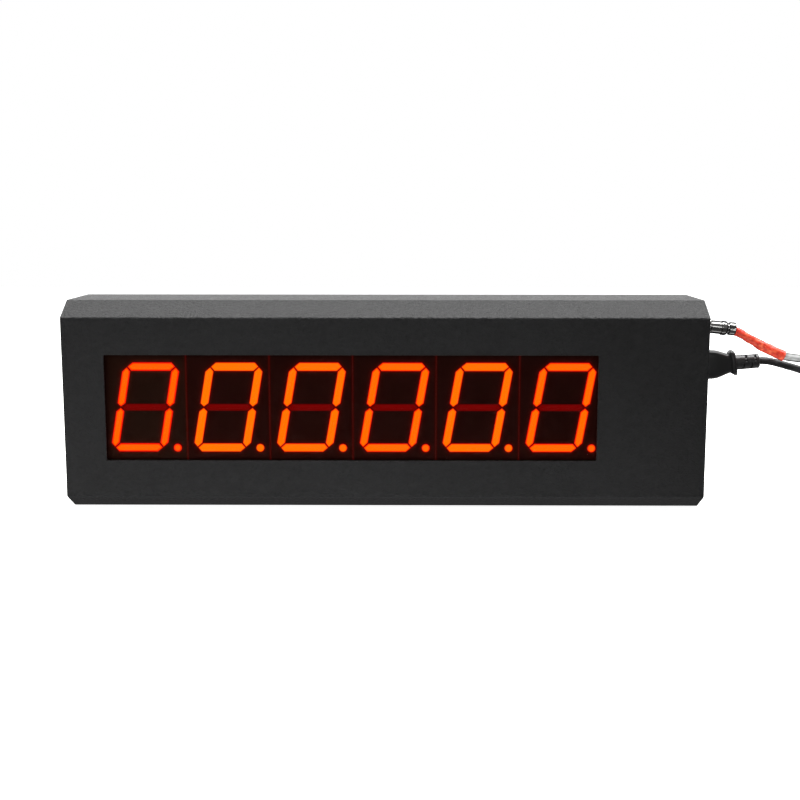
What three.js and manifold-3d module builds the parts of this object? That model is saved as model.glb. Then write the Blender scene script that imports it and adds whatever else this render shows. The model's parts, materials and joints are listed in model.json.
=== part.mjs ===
// A gym round timer: a folded sheet-metal case with a six-digit, 3 inch seven-segment LED display behind
// a tinted window, a mains inlet and a circular signal socket on its right end, and the two leads that
// plug into them. Each lead's spare length lies in a tied coil to the right of the case.
// Units are millimetres. +X is the reader's right, -Y faces the reader, +Z is up, and the origin is the
// middle of the case's footprint.
import * as THREE from "three";
import { mergeVertices } from "three/addons/utils/BufferGeometryUtils.js";
import Module from "manifold-3d";

const wasm = await Module();
wasm.setup();

// ---------------------------------------------------------------- driving dimensions

const GAP = 0.3; // clearance between pieces that touch
const SHEET = 1.5; // case sheet thickness

const CASE = { width: 540, depth: 95, height: 178, chamferBack: 23.5, chamferUp: 13, lip: 12 };
const FRONT = -CASE.depth / 2;
const REAR = CASE.depth / 2;
const END = CASE.width / 2;

const WINDOW = { left: -235, right: 178.4, bottom: 44.2, top: 133.6 };
const FILTER = { thickness: 2, overlap: 5 };

const MODULE = {
  count: 6, pitch: 70, firstX: -202, z: 89, width: 69.7, height: 89.7, depth: 11, wall: 1.6,
};
const DIGIT = { height: 76.2, width: 48.2, slant: THREE.MathUtils.degToRad(10) };
const BAR = { level: 7.3, upright: 7, middle: 6.1, gap: 0.8, pointOut: 3.6, sleeve: 0.25 };
const DOT = { x: 26.5, z: -34.7, radius: 3.5 };

const BOARD = {
  thickness: 1.6, margin: 10, studRadius: 1.5, studLength: 20, studZ: [37.5, 140.5], studX: [-190, 140],
};
const COVER_SCREW = { x: [-240, 0, 240], radius: 1.5, headRadius: 2.8, headHeight: 1.3, length: 8 };

const INLET = {
  y: 5, z: 120.1, tall: 24.6, wide: 16.8, depth: 16.5, corner: 4.5, wall: 1.4,
  flange: 3.2, flangeThick: 2.4,
};
const PIN = { tall: 2, wide: 4, length: 14, spread: 7, offset: 2.2, earthExtra: 1.5 };

const SOCKET = { y: -5, z: 154.5, radius: 5.9, bore: 4.95, out: 5, flangeRadius: 8, back: 12 };
const PANEL_NUT = { radius: 8.1, thickness: 1.6 };
const RING = { radius: 7.4, bore: 6.25, lip: 5.7, start: 2.4, length: 7.4, lipLength: 1.3 };
const PLUG_DROOP = THREE.MathUtils.degToRad(6); // the signal plug hangs a little in its loose ring
const PLUG_LIFT = THREE.MathUtils.degToRad(4.3); // the mains plug's tail is pushed up by its stiff cord

const MAINS = {
  diameter: 6.6, coilX: 440, turn: 48, columns: 3.1, rise: 6.7, curl: 29, endTurn: 41.3, tieAngle: 200,
};
const SIGNAL = {
  diameter: 7.2, coilX: 566, turn: 49, columns: 3.1, rise: 7.3, curl: 29, endTurn: 41.7, tieAngle: 160,
};
const SLEEVE_RADIUS = 4.2;
const STRAIGHT_END = 3; // straight cord just before the plug that lies on each coil
const TIE = { width: 9, thickness: 0.8, clearance: 0.3 };

// Hand-laid routes of the two leads, from where each leaves its plug to where it lands on its coil.
const MAINS_ROUTE = [
  [327.4, 5, 123.3], [330, 5, 123.4], [336, 5, 122.7], [343, 4.6, 121], [352.5, 4, 118.4],
  [363, 2.5, 115.2], [375, -1, 109.6], [388, -9, 99.5], [400, -20.5, 82], [411, -32.5, 59.5],
  [421, -41.5, 40.5], [431, -46.9, 26.6], [440, -48, 19],
];
const SLEEVE_ROUTE = [
  [303, -5, 149.5], [304.8, -5, 148.9], [309.5, -5, 146.3], [316.9, -5, 142.2], [324.4, -5, 137.9],
  [331, -5, 134.7], [337.1, -5, 131.8], [341.6, -5, 129.8], [344.6, -5, 128.8],
];
const SIGNAL_ROUTE = [
  [345, -5, 128.65], [348, -5, 127.8], [353, -5, 127.1], [360, -5, 126.2], [372, -5, 124.1],
  [390, -5.5, 119.8], [412, -7.5, 112.4], [440, -11.5, 99.5], [470, -18, 82], [500, -27, 62.5],
  [527, -37.5, 44.5], [548, -45.6, 31], [566, -49, 21],
];

// ---------------------------------------------------------------- solid helpers

function toSolid(geometry) {
  const bare = geometry.index ? geometry.toNonIndexed() : geometry.clone();
  bare.deleteAttribute("normal");
  bare.deleteAttribute("uv");
  const merged = mergeVertices(bare, 1e-4);
  const corners = merged.index.array;
  const kept = [];
  for (let i = 0; i < corners.length; i += 3) {
    const [a, b, c] = [corners[i], corners[i + 1], corners[i + 2]];
    if (a !== b && b !== c && c !== a) kept.push(a, b, c);
  }
  const mesh = new wasm.Mesh({
    numProp: 3,
    vertProperties: merged.attributes.position.array,
    triVerts: new Uint32Array(kept),
  });
  return new wasm.Manifold(mesh);
}

function toGeometry(solid) {
  const { vertProperties, triVerts } = solid.getMesh();
  return new THREE.BufferGeometry()
    .setAttribute("position", new THREE.BufferAttribute(vertProperties, 3))
    .setIndex(new THREE.BufferAttribute(triVerts, 1));
}

const join = (...pieces) => toGeometry(pieces.map(toSolid).reduce((a, b) => a.add(b)));
const cut = (base, ...tools) =>
  toGeometry(tools.map(toSolid).reduce((a, b) => a.subtract(b), toSolid(base)));
const common = (a, b) => toGeometry(toSolid(a).intersect(toSolid(b)));

// A block between two opposite corners.
function block(x0, x1, y0, y1, z0, z1) {
  return new THREE.BoxGeometry(x1 - x0, y1 - y0, z1 - z0)
    .translate((x0 + x1) / 2, (y0 + y1) / 2, (z0 + z1) / 2);
}

function outlineOf(points, holes = []) {
  const outline = new THREE.Shape(points.map(([u, v]) => new THREE.Vector2(u, v)));
  outline.holes = holes.map((hole) => new THREE.Path(hole.map(([u, v]) => new THREE.Vector2(u, v))));
  return outline;
}

const extruded = (outline, depth) => new THREE.ExtrudeGeometry(outline, { depth, bevelEnabled: false });

// A (y, z) outline made solid from x0 to x1.
function barAlongX(points, x0, x1, holes) {
  const turn = new THREE.Matrix4().makeBasis(
    new THREE.Vector3(0, 1, 0),
    new THREE.Vector3(0, 0, 1),
    new THREE.Vector3(1, 0, 0),
  );
  return extruded(outlineOf(points, holes), x1 - x0).applyMatrix4(turn).translate(x0, 0, 0);
}

// An (x, z) outline made solid from y0 back to y1.
function barAlongY(points, y0, y1) {
  return extruded(outlineOf(points), y1 - y0).rotateX(Math.PI / 2).translate(0, y1, 0);
}

// An (x, y) outline made solid from z0 up to z1.
const barAlongZ = (points, z0, z1) => extruded(outlineOf(points), z1 - z0).translate(0, 0, z0);

// A (radius, distance) profile turned about the X axis.
function turnedAboutX(profile, sides = 20) {
  const outline = profile.map(([r, x]) => new THREE.Vector2(r, x));
  return new THREE.LatheGeometry(outline, sides).rotateZ(-Math.PI / 2);
}

// A solid rod along the X axis.
const rodAlongX = (radius, x0, x1, sides) =>
  turnedAboutX([[0, x0], [radius, x0], [radius, x1], [0, x1]], sides);

// The same about the Z axis.
function turnedAboutZ(profile, sides = 24) {
  const outline = profile.map(([r, z]) => new THREE.Vector2(r, z));
  return new THREE.LatheGeometry(outline, sides).rotateX(Math.PI / 2);
}

function circle(radius, sides, u = 0, v = 0) {
  return Array.from({ length: sides }, (_, i) => {
    const a = (i / sides) * 2 * Math.PI;
    return [u + radius * Math.cos(a), v + radius * Math.sin(a)];
  });
}

// A section drawn along a smooth curve through the given points.
function alongRoute(route, section, steps) {
  const curve = new THREE.CatmullRomCurve3(route.map((p) => new THREE.Vector3(...p)), false, "centripetal");
  return new THREE.ExtrudeGeometry(outlineOf(section), { steps, extrudePath: curve, bevelEnabled: false });
}

const cordAlong = (route, radius, steps, sides = 8) => alongRoute(route, circle(radius, sides), steps);

// An outline moved inwards by a distance, corner by corner.
function inset(points, distance) {
  const area = points.reduce((sum, [x, y], i) => {
    const [nx, ny] = points[(i + 1) % points.length];
    return sum + x * ny - nx * y;
  }, 0);
  const side = Math.sign(area) * distance;
  return points.map((p, i) => {
    const before = points[(i + points.length - 1) % points.length];
    const after = points[(i + 1) % points.length];
    const a = new THREE.Vector2(p[0] - before[0], p[1] - before[1]).normalize();
    const b = new THREE.Vector2(after[0] - p[0], after[1] - p[1]).normalize();
    const half = a.clone().add(b).normalize();
    const reach = side / Math.sqrt((1 + a.dot(b)) / 2);
    return [p[0] - half.y * reach, p[1] + half.x * reach];
  });
}

// ---------------------------------------------------------------- materials

const finish = (color, roughness, metalness = 0, extra = {}) =>
  new THREE.MeshStandardMaterial({ color, roughness, metalness, ...extra });

const MATERIALS = {
  powderCoat: finish(0x2a2a2b, 0.62, 0.2),
  zincScrew: finish(0x9a9a98, 0.35, 0.9),
  filter: finish(0x240805, 0.12, 0, { transparent: true, opacity: 0.5 }),
  housing: finish(0x141210, 0.7),
  segment: finish(0xff5a10, 0.4, 0, { emissive: 0xff3a00 }),
  board: finish(0x1f5a34, 0.5),
  galvanised: finish(0xb4b7b8, 0.4, 0.9),
  nylon: finish(0x161616, 0.5),
  brass: finish(0xc9a24a, 0.3, 1),
  nickel: finish(0xc6c7c8, 0.22, 1),
  insert: finish(0x1b1b1c, 0.45),
  moulding: finish(0x101011, 0.4),
  blackCord: finish(0x141415, 0.28),
  clearCord: finish(0xc9cbc9, 0.3),
  sleeve: finish(0xe85a3c, 0.5),
  wire: finish(0xb02a22, 0.5),
  ribbon: finish(0x8a8d90, 0.6),
  strap: finish(0x1a1a1b, 0.85),
};

const timer = new THREE.Group();

function addPiece(name, geometry, material) {
  const piece = new THREE.Mesh(geometry, material);
  piece.name = name;
  timer.add(piece);
  return piece;
}

// ---------------------------------------------------------------- case

const caseOutline = [
  [REAR, 0],
  [REAR, CASE.height],
  [FRONT + CASE.chamferBack, CASE.height],
  [FRONT, CASE.height - CASE.chamferUp],
  [FRONT, CASE.chamferUp],
  [FRONT + CASE.chamferBack, 0],
];
const coverSeat = REAR - SHEET - GAP; // outer face of the lips that the rear cover screws to
const lipInside = coverSeat - SHEET;

// The rim of a section, as far back as the given depth.
const sectionTo = (distance, rear) => inset(caseOutline, distance).map(([y, z]) => [Math.min(y, rear), z]);

const screwHeights = [SHEET + CASE.lip / 2, CASE.height - SHEET - CASE.lip / 2];
const coverScrews = COVER_SCREW.x.flatMap((x) => screwHeights.map((z) => [x, z]));
const boardStuds = BOARD.studX.flatMap((x) => BOARD.studZ.map((z) => [x, z]));

const borehole = ([x, z], radius, y0, y1) => barAlongY(circle(radius, 12, x, z), y0, y1);

function makeCaseShell() {
  const sleeve = barAlongX(caseOutline, -END, END, [sectionTo(SHEET, lipInside)]);
  const coverRecess = block(-END - 1, END + 1, coverSeat, REAR + 1, SHEET, CASE.height - SHEET);
  const rearMouth = block(
    -END - 1, END + 1, lipInside - 1, REAR, SHEET + CASE.lip, CASE.height - SHEET - CASE.lip,
  );
  const window = block(
    WINDOW.left, WINDOW.right, FRONT - 1, FRONT + SHEET + 1, WINDOW.bottom, WINDOW.top,
  );
  const clearance = COVER_SCREW.radius + GAP;
  const holes = coverScrews.map((at) => borehole(at, clearance, lipInside - 1, coverSeat + 1));
  const studEnd = FRONT + BOARD.studLength;
  const studs = boardStuds.map((at) => borehole(at, BOARD.studRadius, FRONT + 1, studEnd));
  return join(cut(sleeve, coverRecess, rearMouth, window, ...holes), ...studs);
}

// An end plate fits inside the folded sleeve, flush with its end.
function makeEndPlate(side, ...openings) {
  const [x0, x1] = side < 0 ? [-END, -END + SHEET] : [END - SHEET, END];
  const plate = barAlongX(sectionTo(SHEET + GAP, coverSeat), x0, x1);
  const lipNotches = [
    [0, SHEET + CASE.lip + GAP],
    [CASE.height - SHEET - CASE.lip - GAP, CASE.height],
  ].map(([z0, z1]) => block(x0 - 1, x1 + 1, lipInside - GAP, REAR, z0, z1));
  return cut(plate, ...lipNotches, ...openings);
}

function makeRearCover() {
  const plate = block(
    -END + GAP, END - GAP, REAR - SHEET, REAR, SHEET + GAP, CASE.height - SHEET - GAP,
  );
  const sinkAt = ([x, z]) =>
    countersunk(COVER_SCREW.radius + GAP, COVER_SCREW.headRadius + GAP).translate(x, 0, z);
  const sinks = coverScrews.map(sinkAt);
  return cut(plate, ...sinks);
}

// A flush-headed screw's outline, entering from behind the case.
function countersunk(radius, headRadius) {
  const profile = [
    [0, 0],
    [radius, 0],
    [radius, COVER_SCREW.length - COVER_SCREW.headHeight],
    [headRadius, COVER_SCREW.length],
    [0, COVER_SCREW.length],
  ];
  return turnedAboutX(profile, 12).rotateZ(Math.PI / 2).translate(0, REAR - COVER_SCREW.length, 0);
}

// ---------------------------------------------------------------- display

const filterBack = FRONT + SHEET + GAP + FILTER.thickness;
const moduleFace = filterBack + GAP;
const moduleBack = moduleFace + MODULE.depth;

// Outlines of the seven bars and the point of one digit, about the module's centre, leaning by the slant.
function barOutlines() {
  const [w, h] = [DIGIT.width / 2, DIGIT.height / 2];
  const half = BAR.gap / 2;
  const mid = BAR.middle / 2;
  const top = [
    [-w + BAR.level + half, h],
    [w - BAR.level - half, h],
    [w - BAR.pointOut - half, h - BAR.pointOut],
    [w - BAR.level - half, h - BAR.level],
    [-w + BAR.level + half, h - BAR.level],
    [-w + BAR.pointOut + half, h - BAR.pointOut],
  ];
  const upperLeft = [
    [-w, h - BAR.level - half],
    [-w + BAR.pointOut, h - BAR.pointOut - half],
    [-w + BAR.upright, h - BAR.level - half],
    [-w + BAR.upright, mid + half],
    [-w + BAR.upright / 2, half],
    [-w, mid + half],
  ];
  const middle = [
    [-w + BAR.upright + half, mid],
    [w - BAR.upright - half, mid],
    [w - BAR.upright / 2 - half, 0],
    [w - BAR.upright - half, -mid],
    [-w + BAR.upright + half, -mid],
    [-w + BAR.upright / 2 + half, 0],
  ];
  const flipX = (bar) => bar.map(([u, v]) => [-u, v]);
  const flipZ = (bar) => bar.map(([u, v]) => [u, -v]);
  const left = [upperLeft, flipZ(upperLeft)];
  const bars = [top, flipZ(top), middle, ...left, ...left.map(flipX)];
  const lean = ([u, v]) => [u + v * Math.tan(DIGIT.slant), v];
  return [...bars.map((bar) => bar.map(lean)), circle(DOT.radius, 16, DOT.x, DOT.z)];
}

const moduleX = (i) => MODULE.firstX + i * MODULE.pitch;

function makeHousing(i) {
  const at = ([u, v]) => [moduleX(i) + u, MODULE.z + v];
  const [w, h] = [MODULE.width / 2, MODULE.height / 2];
  const body = block(moduleX(i) - w, moduleX(i) + w, moduleFace, moduleBack, MODULE.z - h, MODULE.z + h);
  const hollow = block(
    moduleX(i) - w + MODULE.wall, moduleX(i) + w - MODULE.wall, moduleFace + MODULE.wall, moduleBack + 1,
    MODULE.z - h + MODULE.wall, MODULE.z + h - MODULE.wall,
  );
  const slots = barOutlines().map((bar) =>
    barAlongY(bar.map(at), moduleFace - 1, moduleFace + MODULE.wall + 1));
  return cut(body, hollow, ...slots);
}

// The light pipes of one digit: a thin carrier behind the face with the bars and the point standing on it.
function makeSegments(i) {
  const at = ([u, v]) => [moduleX(i) + u, MODULE.z + v];
  const carrierFace = moduleFace + MODULE.wall + GAP;
  const [w, h] = [MODULE.width / 2 - MODULE.wall - 1, MODULE.height / 2 - MODULE.wall - 1];
  const carrier = block(
    moduleX(i) - w, moduleX(i) + w, carrierFace, carrierFace + 1.2, MODULE.z - h, MODULE.z + h,
  );
  const bars = barOutlines().map((bar) =>
    barAlongY(inset(bar, BAR.sleeve).map(at), moduleFace + 0.1, carrierFace + 0.5));
  return join(carrier, ...bars);
}

const boardFace = moduleBack + GAP;
const boardBack = boardFace + BOARD.thickness;
const boardLeft = moduleX(0) - MODULE.pitch / 2 - 2;
const boardRight = moduleX(MODULE.count - 1) + MODULE.pitch / 2 + 2;
const ribbonPlug = { x: -20, z: 62, width: 22 };

function makeDisplayBoard() {
  const plate = block(
    boardLeft, boardRight, boardFace, boardBack,
    MODULE.z - MODULE.height / 2 - BOARD.margin, MODULE.z + MODULE.height / 2 + BOARD.margin,
  );
  const holes = boardStuds.map((at) => borehole(at, BOARD.studRadius + GAP, boardFace - 1, boardBack + 1));
  const drivers = Array.from({ length: MODULE.count }, (_, i) =>
    block(moduleX(i) - 5, moduleX(i) + 5, boardBack - 0.2, boardBack + 1.8, MODULE.z + 8, MODULE.z + 15));
  const { x, z, width } = ribbonPlug;
  const header = block(x - width / 2, x + width / 2, boardBack - 0.2, boardBack + 8, z - 4, z + 4);
  return join(cut(plate, ...holes), ...drivers, header);
}

function makeBoardNut([x, z]) {
  const hexagon = circle(3.1, 6, x, z);
  const nut = barAlongY(hexagon, boardBack + GAP, boardBack + GAP + 2.4);
  return cut(nut, borehole([x, z], BOARD.studRadius + GAP, boardBack, boardBack + 4));
}

// ---------------------------------------------------------------- electronics

const CONTROL = { left: 60, right: 160, bottom: 40, top: 110, y: 35 };
const SUPPLY = { left: -221, right: -122, bottom: 25, top: 107, depth: 30 };
const supplyBack = coverSeat;
const supplyFront = supplyBack - SUPPLY.depth;
const controlPlugs = {
  ribbon: { x: 82, z: 76, width: 22 },
  supply: { x: 66, z: 50, width: 8 },
  signal: { x: 150, z: 98, width: 8 },
};

function makeControlBoard() {
  const { left, right, bottom, top, y } = CONTROL;
  const plate = block(left, right, y, y + BOARD.thickness, bottom, top);
  const pillars = [left + 5, right - 5].flatMap((x) => [bottom + 5, top - 5].map((z) =>
    barAlongY(circle(3, 6, x, z), y + BOARD.thickness - 0.2, REAR - SHEET - GAP)));
  const chips = [
    [105, 60, 12, 12, 1.6],
    [128, 60, 8, 5, 1.6],
    [105, 88, 10, 6, 1.6],
    [134, 82, 6, 6, 9],
  ].map(([x, z, w, h, tall]) => block(x - w / 2, x + w / 2, y - tall, y + 0.2, z - h / 2, z + h / 2));
  const plugs = Object.values(controlPlugs).map(({ x, z, width }) =>
    block(x - width / 2, x + width / 2, y - 7, y + 0.2, z - 4, z + 4));
  return join(plate, ...pillars, ...chips, ...plugs);
}

// The supply sits in a U-shaped tray against the rear cover, under a plain cover.
function makeSupplyTray() {
  const { left, right, bottom, top } = SUPPLY;
  const outside = [
    [supplyFront, bottom],
    [supplyBack, bottom],
    [supplyBack, top],
    [supplyFront, top],
    [supplyFront, top - 1],
    [supplyBack - 1, top - 1],
    [supplyBack - 1, bottom + 1],
    [supplyFront, bottom + 1],
  ];
  return barAlongX(outside, left, right);
}

function makeSupplyCover() {
  const { left, right, bottom, top } = SUPPLY;
  const front = block(left, right - 14, supplyFront + GAP, supplyFront + 1.3, bottom + 1.3, top - 1.3);
  const end = block(left, left + 1, supplyFront + GAP, supplyBack - 1.3, bottom + 1.3, top - 1.3);
  return join(front, end);
}

function makeSupplyBoard() {
  const { left, right, bottom, top } = SUPPLY;
  const y = supplyBack - 6;
  const plate = block(left + 3, right - 1, y, y + BOARD.thickness, bottom + 3, top - 3);
  const feet = [left + 8, right - 24].flatMap((x) => [bottom + 8, top - 8].map((z) =>
    barAlongY(circle(2.5, 6, x, z), y + 1, supplyBack - 1.3)));
  const transformer = block(left + 38, left + 62, y - 18, y + 0.2, bottom + 28, bottom + 50);
  const capacitors = [bottom + 20, bottom + 60].map((z) =>
    barAlongY(circle(7, 12, left + 20, z), y - 19, y + 0.2));
  const terminals = block(right - 12, right - 2, y - 12, y + 0.2, bottom + 8, top - 8);
  return join(plate, ...feet, transformer, ...capacitors, terminals);
}

const terminalX = SUPPLY.right - 2 + GAP;

// An inner cable, leaving straight along one direction and arriving straight along another.
function harness(name, start, leaving, between, end, arriving, radius, material) {
  const step = (from, way, distance) => from.map((value, i) => value + way[i] * distance);
  const route = [
    start, step(start, leaving, 3), step(start, leaving, 7),
    ...between,
    step(end, arriving, -7), step(end, arriving, -3), end,
  ];
  addPiece(name, cordAlong(route, radius, 20, 6), material);
}

function addHarnesses() {
  const { ribbon, supply, signal } = controlPlugs;
  const plugFace = CONTROL.y - 7 - GAP;
  const supplyFace = supplyBack - 12;
  const back = [0, 1, 0];
  harness(
    "ribbon_cable", [ribbonPlug.x, boardBack + 8 + GAP, ribbonPlug.z], back,
    [[10, 0, 70]], [ribbon.x, plugFace, ribbon.z], back, 2.6, MATERIALS.ribbon,
  );
  harness(
    "supply_harness", [terminalX, supplyFace, 40], [1, 0, 0],
    [[-60, 28, 30], [30, 12, 32]], [supply.x, plugFace, supply.z], back, 2, MATERIALS.wire,
  );
  harness(
    "mains_harness", [inletBack - GAP, INLET.y, INLET.z], [-1, 0, 0],
    [[190, 16, 144], [90, 22, 152], [-40, 24, 148], [-98, 28, 112]],
    [terminalX, supplyFace, 86], [-1, 0, 0], 3, MATERIALS.wire,
  );
  harness(
    "signal_harness", [END - SOCKET.back - GAP, SOCKET.y, SOCKET.z], [-1, 0, 0],
    [[210, 2, 142], [172, 8, 110]], [signal.x, plugFace, signal.z], back, 1.8, MATERIALS.ribbon,
  );
}

// ---------------------------------------------------------------- mains inlet

const inletMouth = END + GAP + INLET.flangeThick;
const inletFloor = inletMouth - INLET.depth;
const inletBack = inletFloor - 8;

// A rectangle about the inlet's centre with the two earth-side corners cut off, as (y, z).
function inletOutline(wide, tall, corner) {
  const [w, h] = [wide / 2, tall / 2];
  const outline = [
    [w, -h], [w, h], [-w + corner, h], [-w, h - corner], [-w, -h + corner], [-w + corner, -h],
  ];
  return outline.map(([y, z]) => [INLET.y + y, INLET.z + z]);
}

const pinPlaces = {
  line: [PIN.offset, PIN.spread],
  neutral: [PIN.offset, -PIN.spread],
  earth: [-PIN.offset, 0],
};

function blade([y, z], x0, x1, slack) {
  const [w, h] = [PIN.wide / 2 + slack, PIN.tall / 2 + slack];
  return block(x0, x1, INLET.y + y - w, INLET.y + y + w, INLET.z + z - h, INLET.z + z + h);
}

function addInlet() {
  const outerWide = INLET.wide + 2 * INLET.wall;
  const outerTall = INLET.tall + 2 * INLET.wall;
  const body = barAlongX(inletOutline(outerWide, outerTall, 5), inletBack, END + 1);
  const flangeOutline = inletOutline(outerWide + 2 * INLET.flange, outerTall + 2 * INLET.flange, 2);
  const flange = barAlongX(flangeOutline, END + GAP, inletMouth);
  const cavity = barAlongX(inletOutline(INLET.wide, INLET.tall, INLET.corner), inletFloor, inletMouth + 1);
  const slots = Object.values(pinPlaces).map((at) => blade(at, inletBack - 1, inletFloor + 1, GAP));
  addPiece("inlet_body", cut(join(body, flange), cavity, ...slots), MATERIALS.nylon);
  for (const [name, at] of Object.entries(pinPlaces)) {
    const reach = inletFloor + PIN.length + (name === "earth" ? PIN.earthExtra : 0);
    addPiece(`inlet_${name}_pin`, blade(at, inletBack + 1, reach, 0), MATERIALS.brass);
  }
}

const openingGrowth = 2 * (INLET.wall + GAP);
const inletOpening = barAlongX(
  inletOutline(INLET.wide + openingGrowth, INLET.tall + openingGrowth, 5), END - 5, END + 5,
);

// ---------------------------------------------------------------- signal socket

const socketHole = rodAlongX(SOCKET.radius + GAP, -5, 5).translate(END, SOCKET.y, SOCKET.z);
const CONTACT_RADIUS = 0.5;
const CONTACT_WELL = 1.25;
const contactPlaces = circle(2.3, 4);

function addSocket() {
  const panelBack = -SHEET - GAP;
  const shell = turnedAboutX([
    [SOCKET.bore, -SOCKET.back + 3],
    [SOCKET.radius, -SOCKET.back + 3],
    [SOCKET.radius, panelBack - 2],
    [SOCKET.flangeRadius, panelBack - 2],
    [SOCKET.flangeRadius, panelBack],
    [SOCKET.radius, panelBack],
    [SOCKET.radius, SOCKET.out],
    [SOCKET.bore, SOCKET.out],
    [SOCKET.bore, -SOCKET.back + 3],
  ]);
  addPiece("signal_socket_shell", shell.translate(END, SOCKET.y, SOCKET.z), MATERIALS.nickel);
  const base = rodAlongX(SOCKET.bore - GAP, -SOCKET.back, -4);
  const pins = contactPlaces.map(([y, z]) => rodAlongX(CONTACT_RADIUS, -5, 2, 8).translate(0, y, z));
  const insert = join(base, ...pins).translate(END, SOCKET.y, SOCKET.z);
  addPiece("signal_socket_insert", insert, MATERIALS.insert);
  const nut = cut(
    barAlongX(circle(PANEL_NUT.radius, 6), GAP, GAP + PANEL_NUT.thickness),
    rodAlongX(SOCKET.radius + GAP, -1, 4),
  );
  addPiece("socket_panel_nut", nut.translate(END, SOCKET.y, SOCKET.z), MATERIALS.nickel);
}

// ---------------------------------------------------------------- mains lead

const PLUG_TAIL = {
  start: 18, end: 41, slotWidth: 1.6, upperSlots: [28.6, 36.5], lowerSlots: [25.6, 32.9],
};

// The strain relief behind the mains plug's flange, with staggered slots above and below its middle.
function makePlugTail() {
  const { start, end, slotWidth, upperSlots, lowerSlots } = PLUG_TAIL;
  const tail = turnedAboutX([[0, start], [6.5, start], [6.2, end], [0, end]]);
  const slots = [-1, 1].flatMap((side) => {
    const ys = side < 0 ? [-7, -4.2] : [4.2, 7];
    return [
      ...upperSlots.map((x) => block(x, x + slotWidth, ...ys, 0.6, 4.2)),
      ...lowerSlots.map((x) => block(x, x + slotWidth, ...ys, -4.2, -0.6)),
    ];
  });
  return cut(tail, ...slots);
}

// The moulded plug: a keyed nose inside the inlet, a grip that tapers to a finger flange, and a tail.
function makeMainsPlug() {
  const noseOutline = inletOutline(INLET.wide - 1, INLET.tall - 1, INLET.corner);
  const nose = barAlongX(noseOutline, inletFloor + GAP + 0.4, inletMouth + 1);
  const slotEnd = inletFloor + PIN.length + 2;
  const slots = Object.values(pinPlaces).map((at) => blade(at, inletFloor - 1, slotEnd, GAP));
  const gripSide = [
    [inletMouth + GAP, -12.4], [286, -12.4], [292, -11], [300, -8], [300, 9.2], [292, 11.4], [286, 12.4],
    [inletMouth + GAP, 12.4],
  ].map(([x, z]) => [x, INLET.z + z]);
  const gripPlan = [
    [inletMouth + GAP, -9.2], [287, -9.2], [300, -7], [300, 7], [287, 9.2], [inletMouth + GAP, 9.2],
  ].map(([x, y]) => [x, INLET.y + y]);
  const grip = common(
    barAlongY(gripSide, INLET.y - 15, INLET.y + 15),
    barAlongZ(gripPlan, INLET.z - 20, INLET.z + 20),
  );
  const flange = barAlongX(circle(10, 20).map(([y, z]) => [y * 0.84, z]), 14, 20);
  const swung = join(flange, makePlugTail()).rotateY(-PLUG_LIFT).translate(285, INLET.y, INLET.z);
  return join(cut(join(nose, grip), ...slots), swung);
}

// The closed ring that one lead's coil fills, raised on the thickness of its tie.
function coilRing(lead) {
  const reach = lead.diameter / 2;
  const outer = lead.turn + reach;
  const inner = lead.turn - lead.columns * lead.rise - reach;
  const base = TIE.thickness + TIE.clearance;
  const top = base + lead.rise + lead.diameter;
  return { inner, outer, base, top };
}

function makeCoil(lead) {
  const { inner, outer, base, top } = coilRing(lead);
  const ring = [[inner, base], [outer, base], [outer, top], [inner, top], [inner, base]];
  return turnedAboutZ(ring, 40).translate(lead.coilX, 0, 0);
}

// A strap round the coil's bundle of turns, standing on the surface.
function makeTie(lead) {
  const { inner, outer, base, top } = coilRing(lead);
  const half = TIE.width / 2;
  const near = Math.sqrt(inner ** 2 - half ** 2) - 2 * TIE.clearance;
  const far = outer + TIE.clearance;
  const [low, high] = [base - TIE.clearance, top + TIE.clearance];
  const wall = TIE.thickness;
  const around = block(near - wall, far + wall, -half, half, low - wall, high + wall);
  const through = block(near, far, -half - 1, half + 1, low, high);
  return cut(around, through)
    .rotateZ(THREE.MathUtils.degToRad(lead.tieAngle))
    .translate(lead.coilX, 0, 0);
}

// Where the plug at a lead's far end begins, lying on the coil with its cable end towards +X.
const farPlugX = (lead) => lead.coilX + lead.endTurn - lead.curl - STRAIGHT_END;

// The end of a lead climbs off its coil in a curl and runs to the axis of the plug that lies on the coil.
function endRoute(lead, axisZ) {
  const upperTurnZ = coilRing(lead).top - lead.diameter / 2;
  const points = [];
  for (let angle = 54; angle <= 90; angle += 9) {
    const a = THREE.MathUtils.degToRad(angle);
    points.push([
      lead.coilX + lead.endTurn - lead.curl + lead.curl * Math.cos(a),
      lead.curl * Math.sin(a),
      upperTurnZ + (axisZ - upperTurnZ) * Math.sin(a) ** 1.2,
    ]);
  }
  points.push([farPlugX(lead) + GAP, lead.curl, axisZ]);
  return points;
}

const wallPlug = {
  axisZ: coilRing(MAINS).top + GAP + 10, tailLength: 24, bodyLength: 32, width: 26, tall: 20,
};
const WALL_PIN = { spread: 6.35, thickness: 1.5, length: 17, low: -6.5, high: -0.2 };
const EARTH_PIN = { radius: 2.4, length: 18.5, z: 4 };

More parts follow.
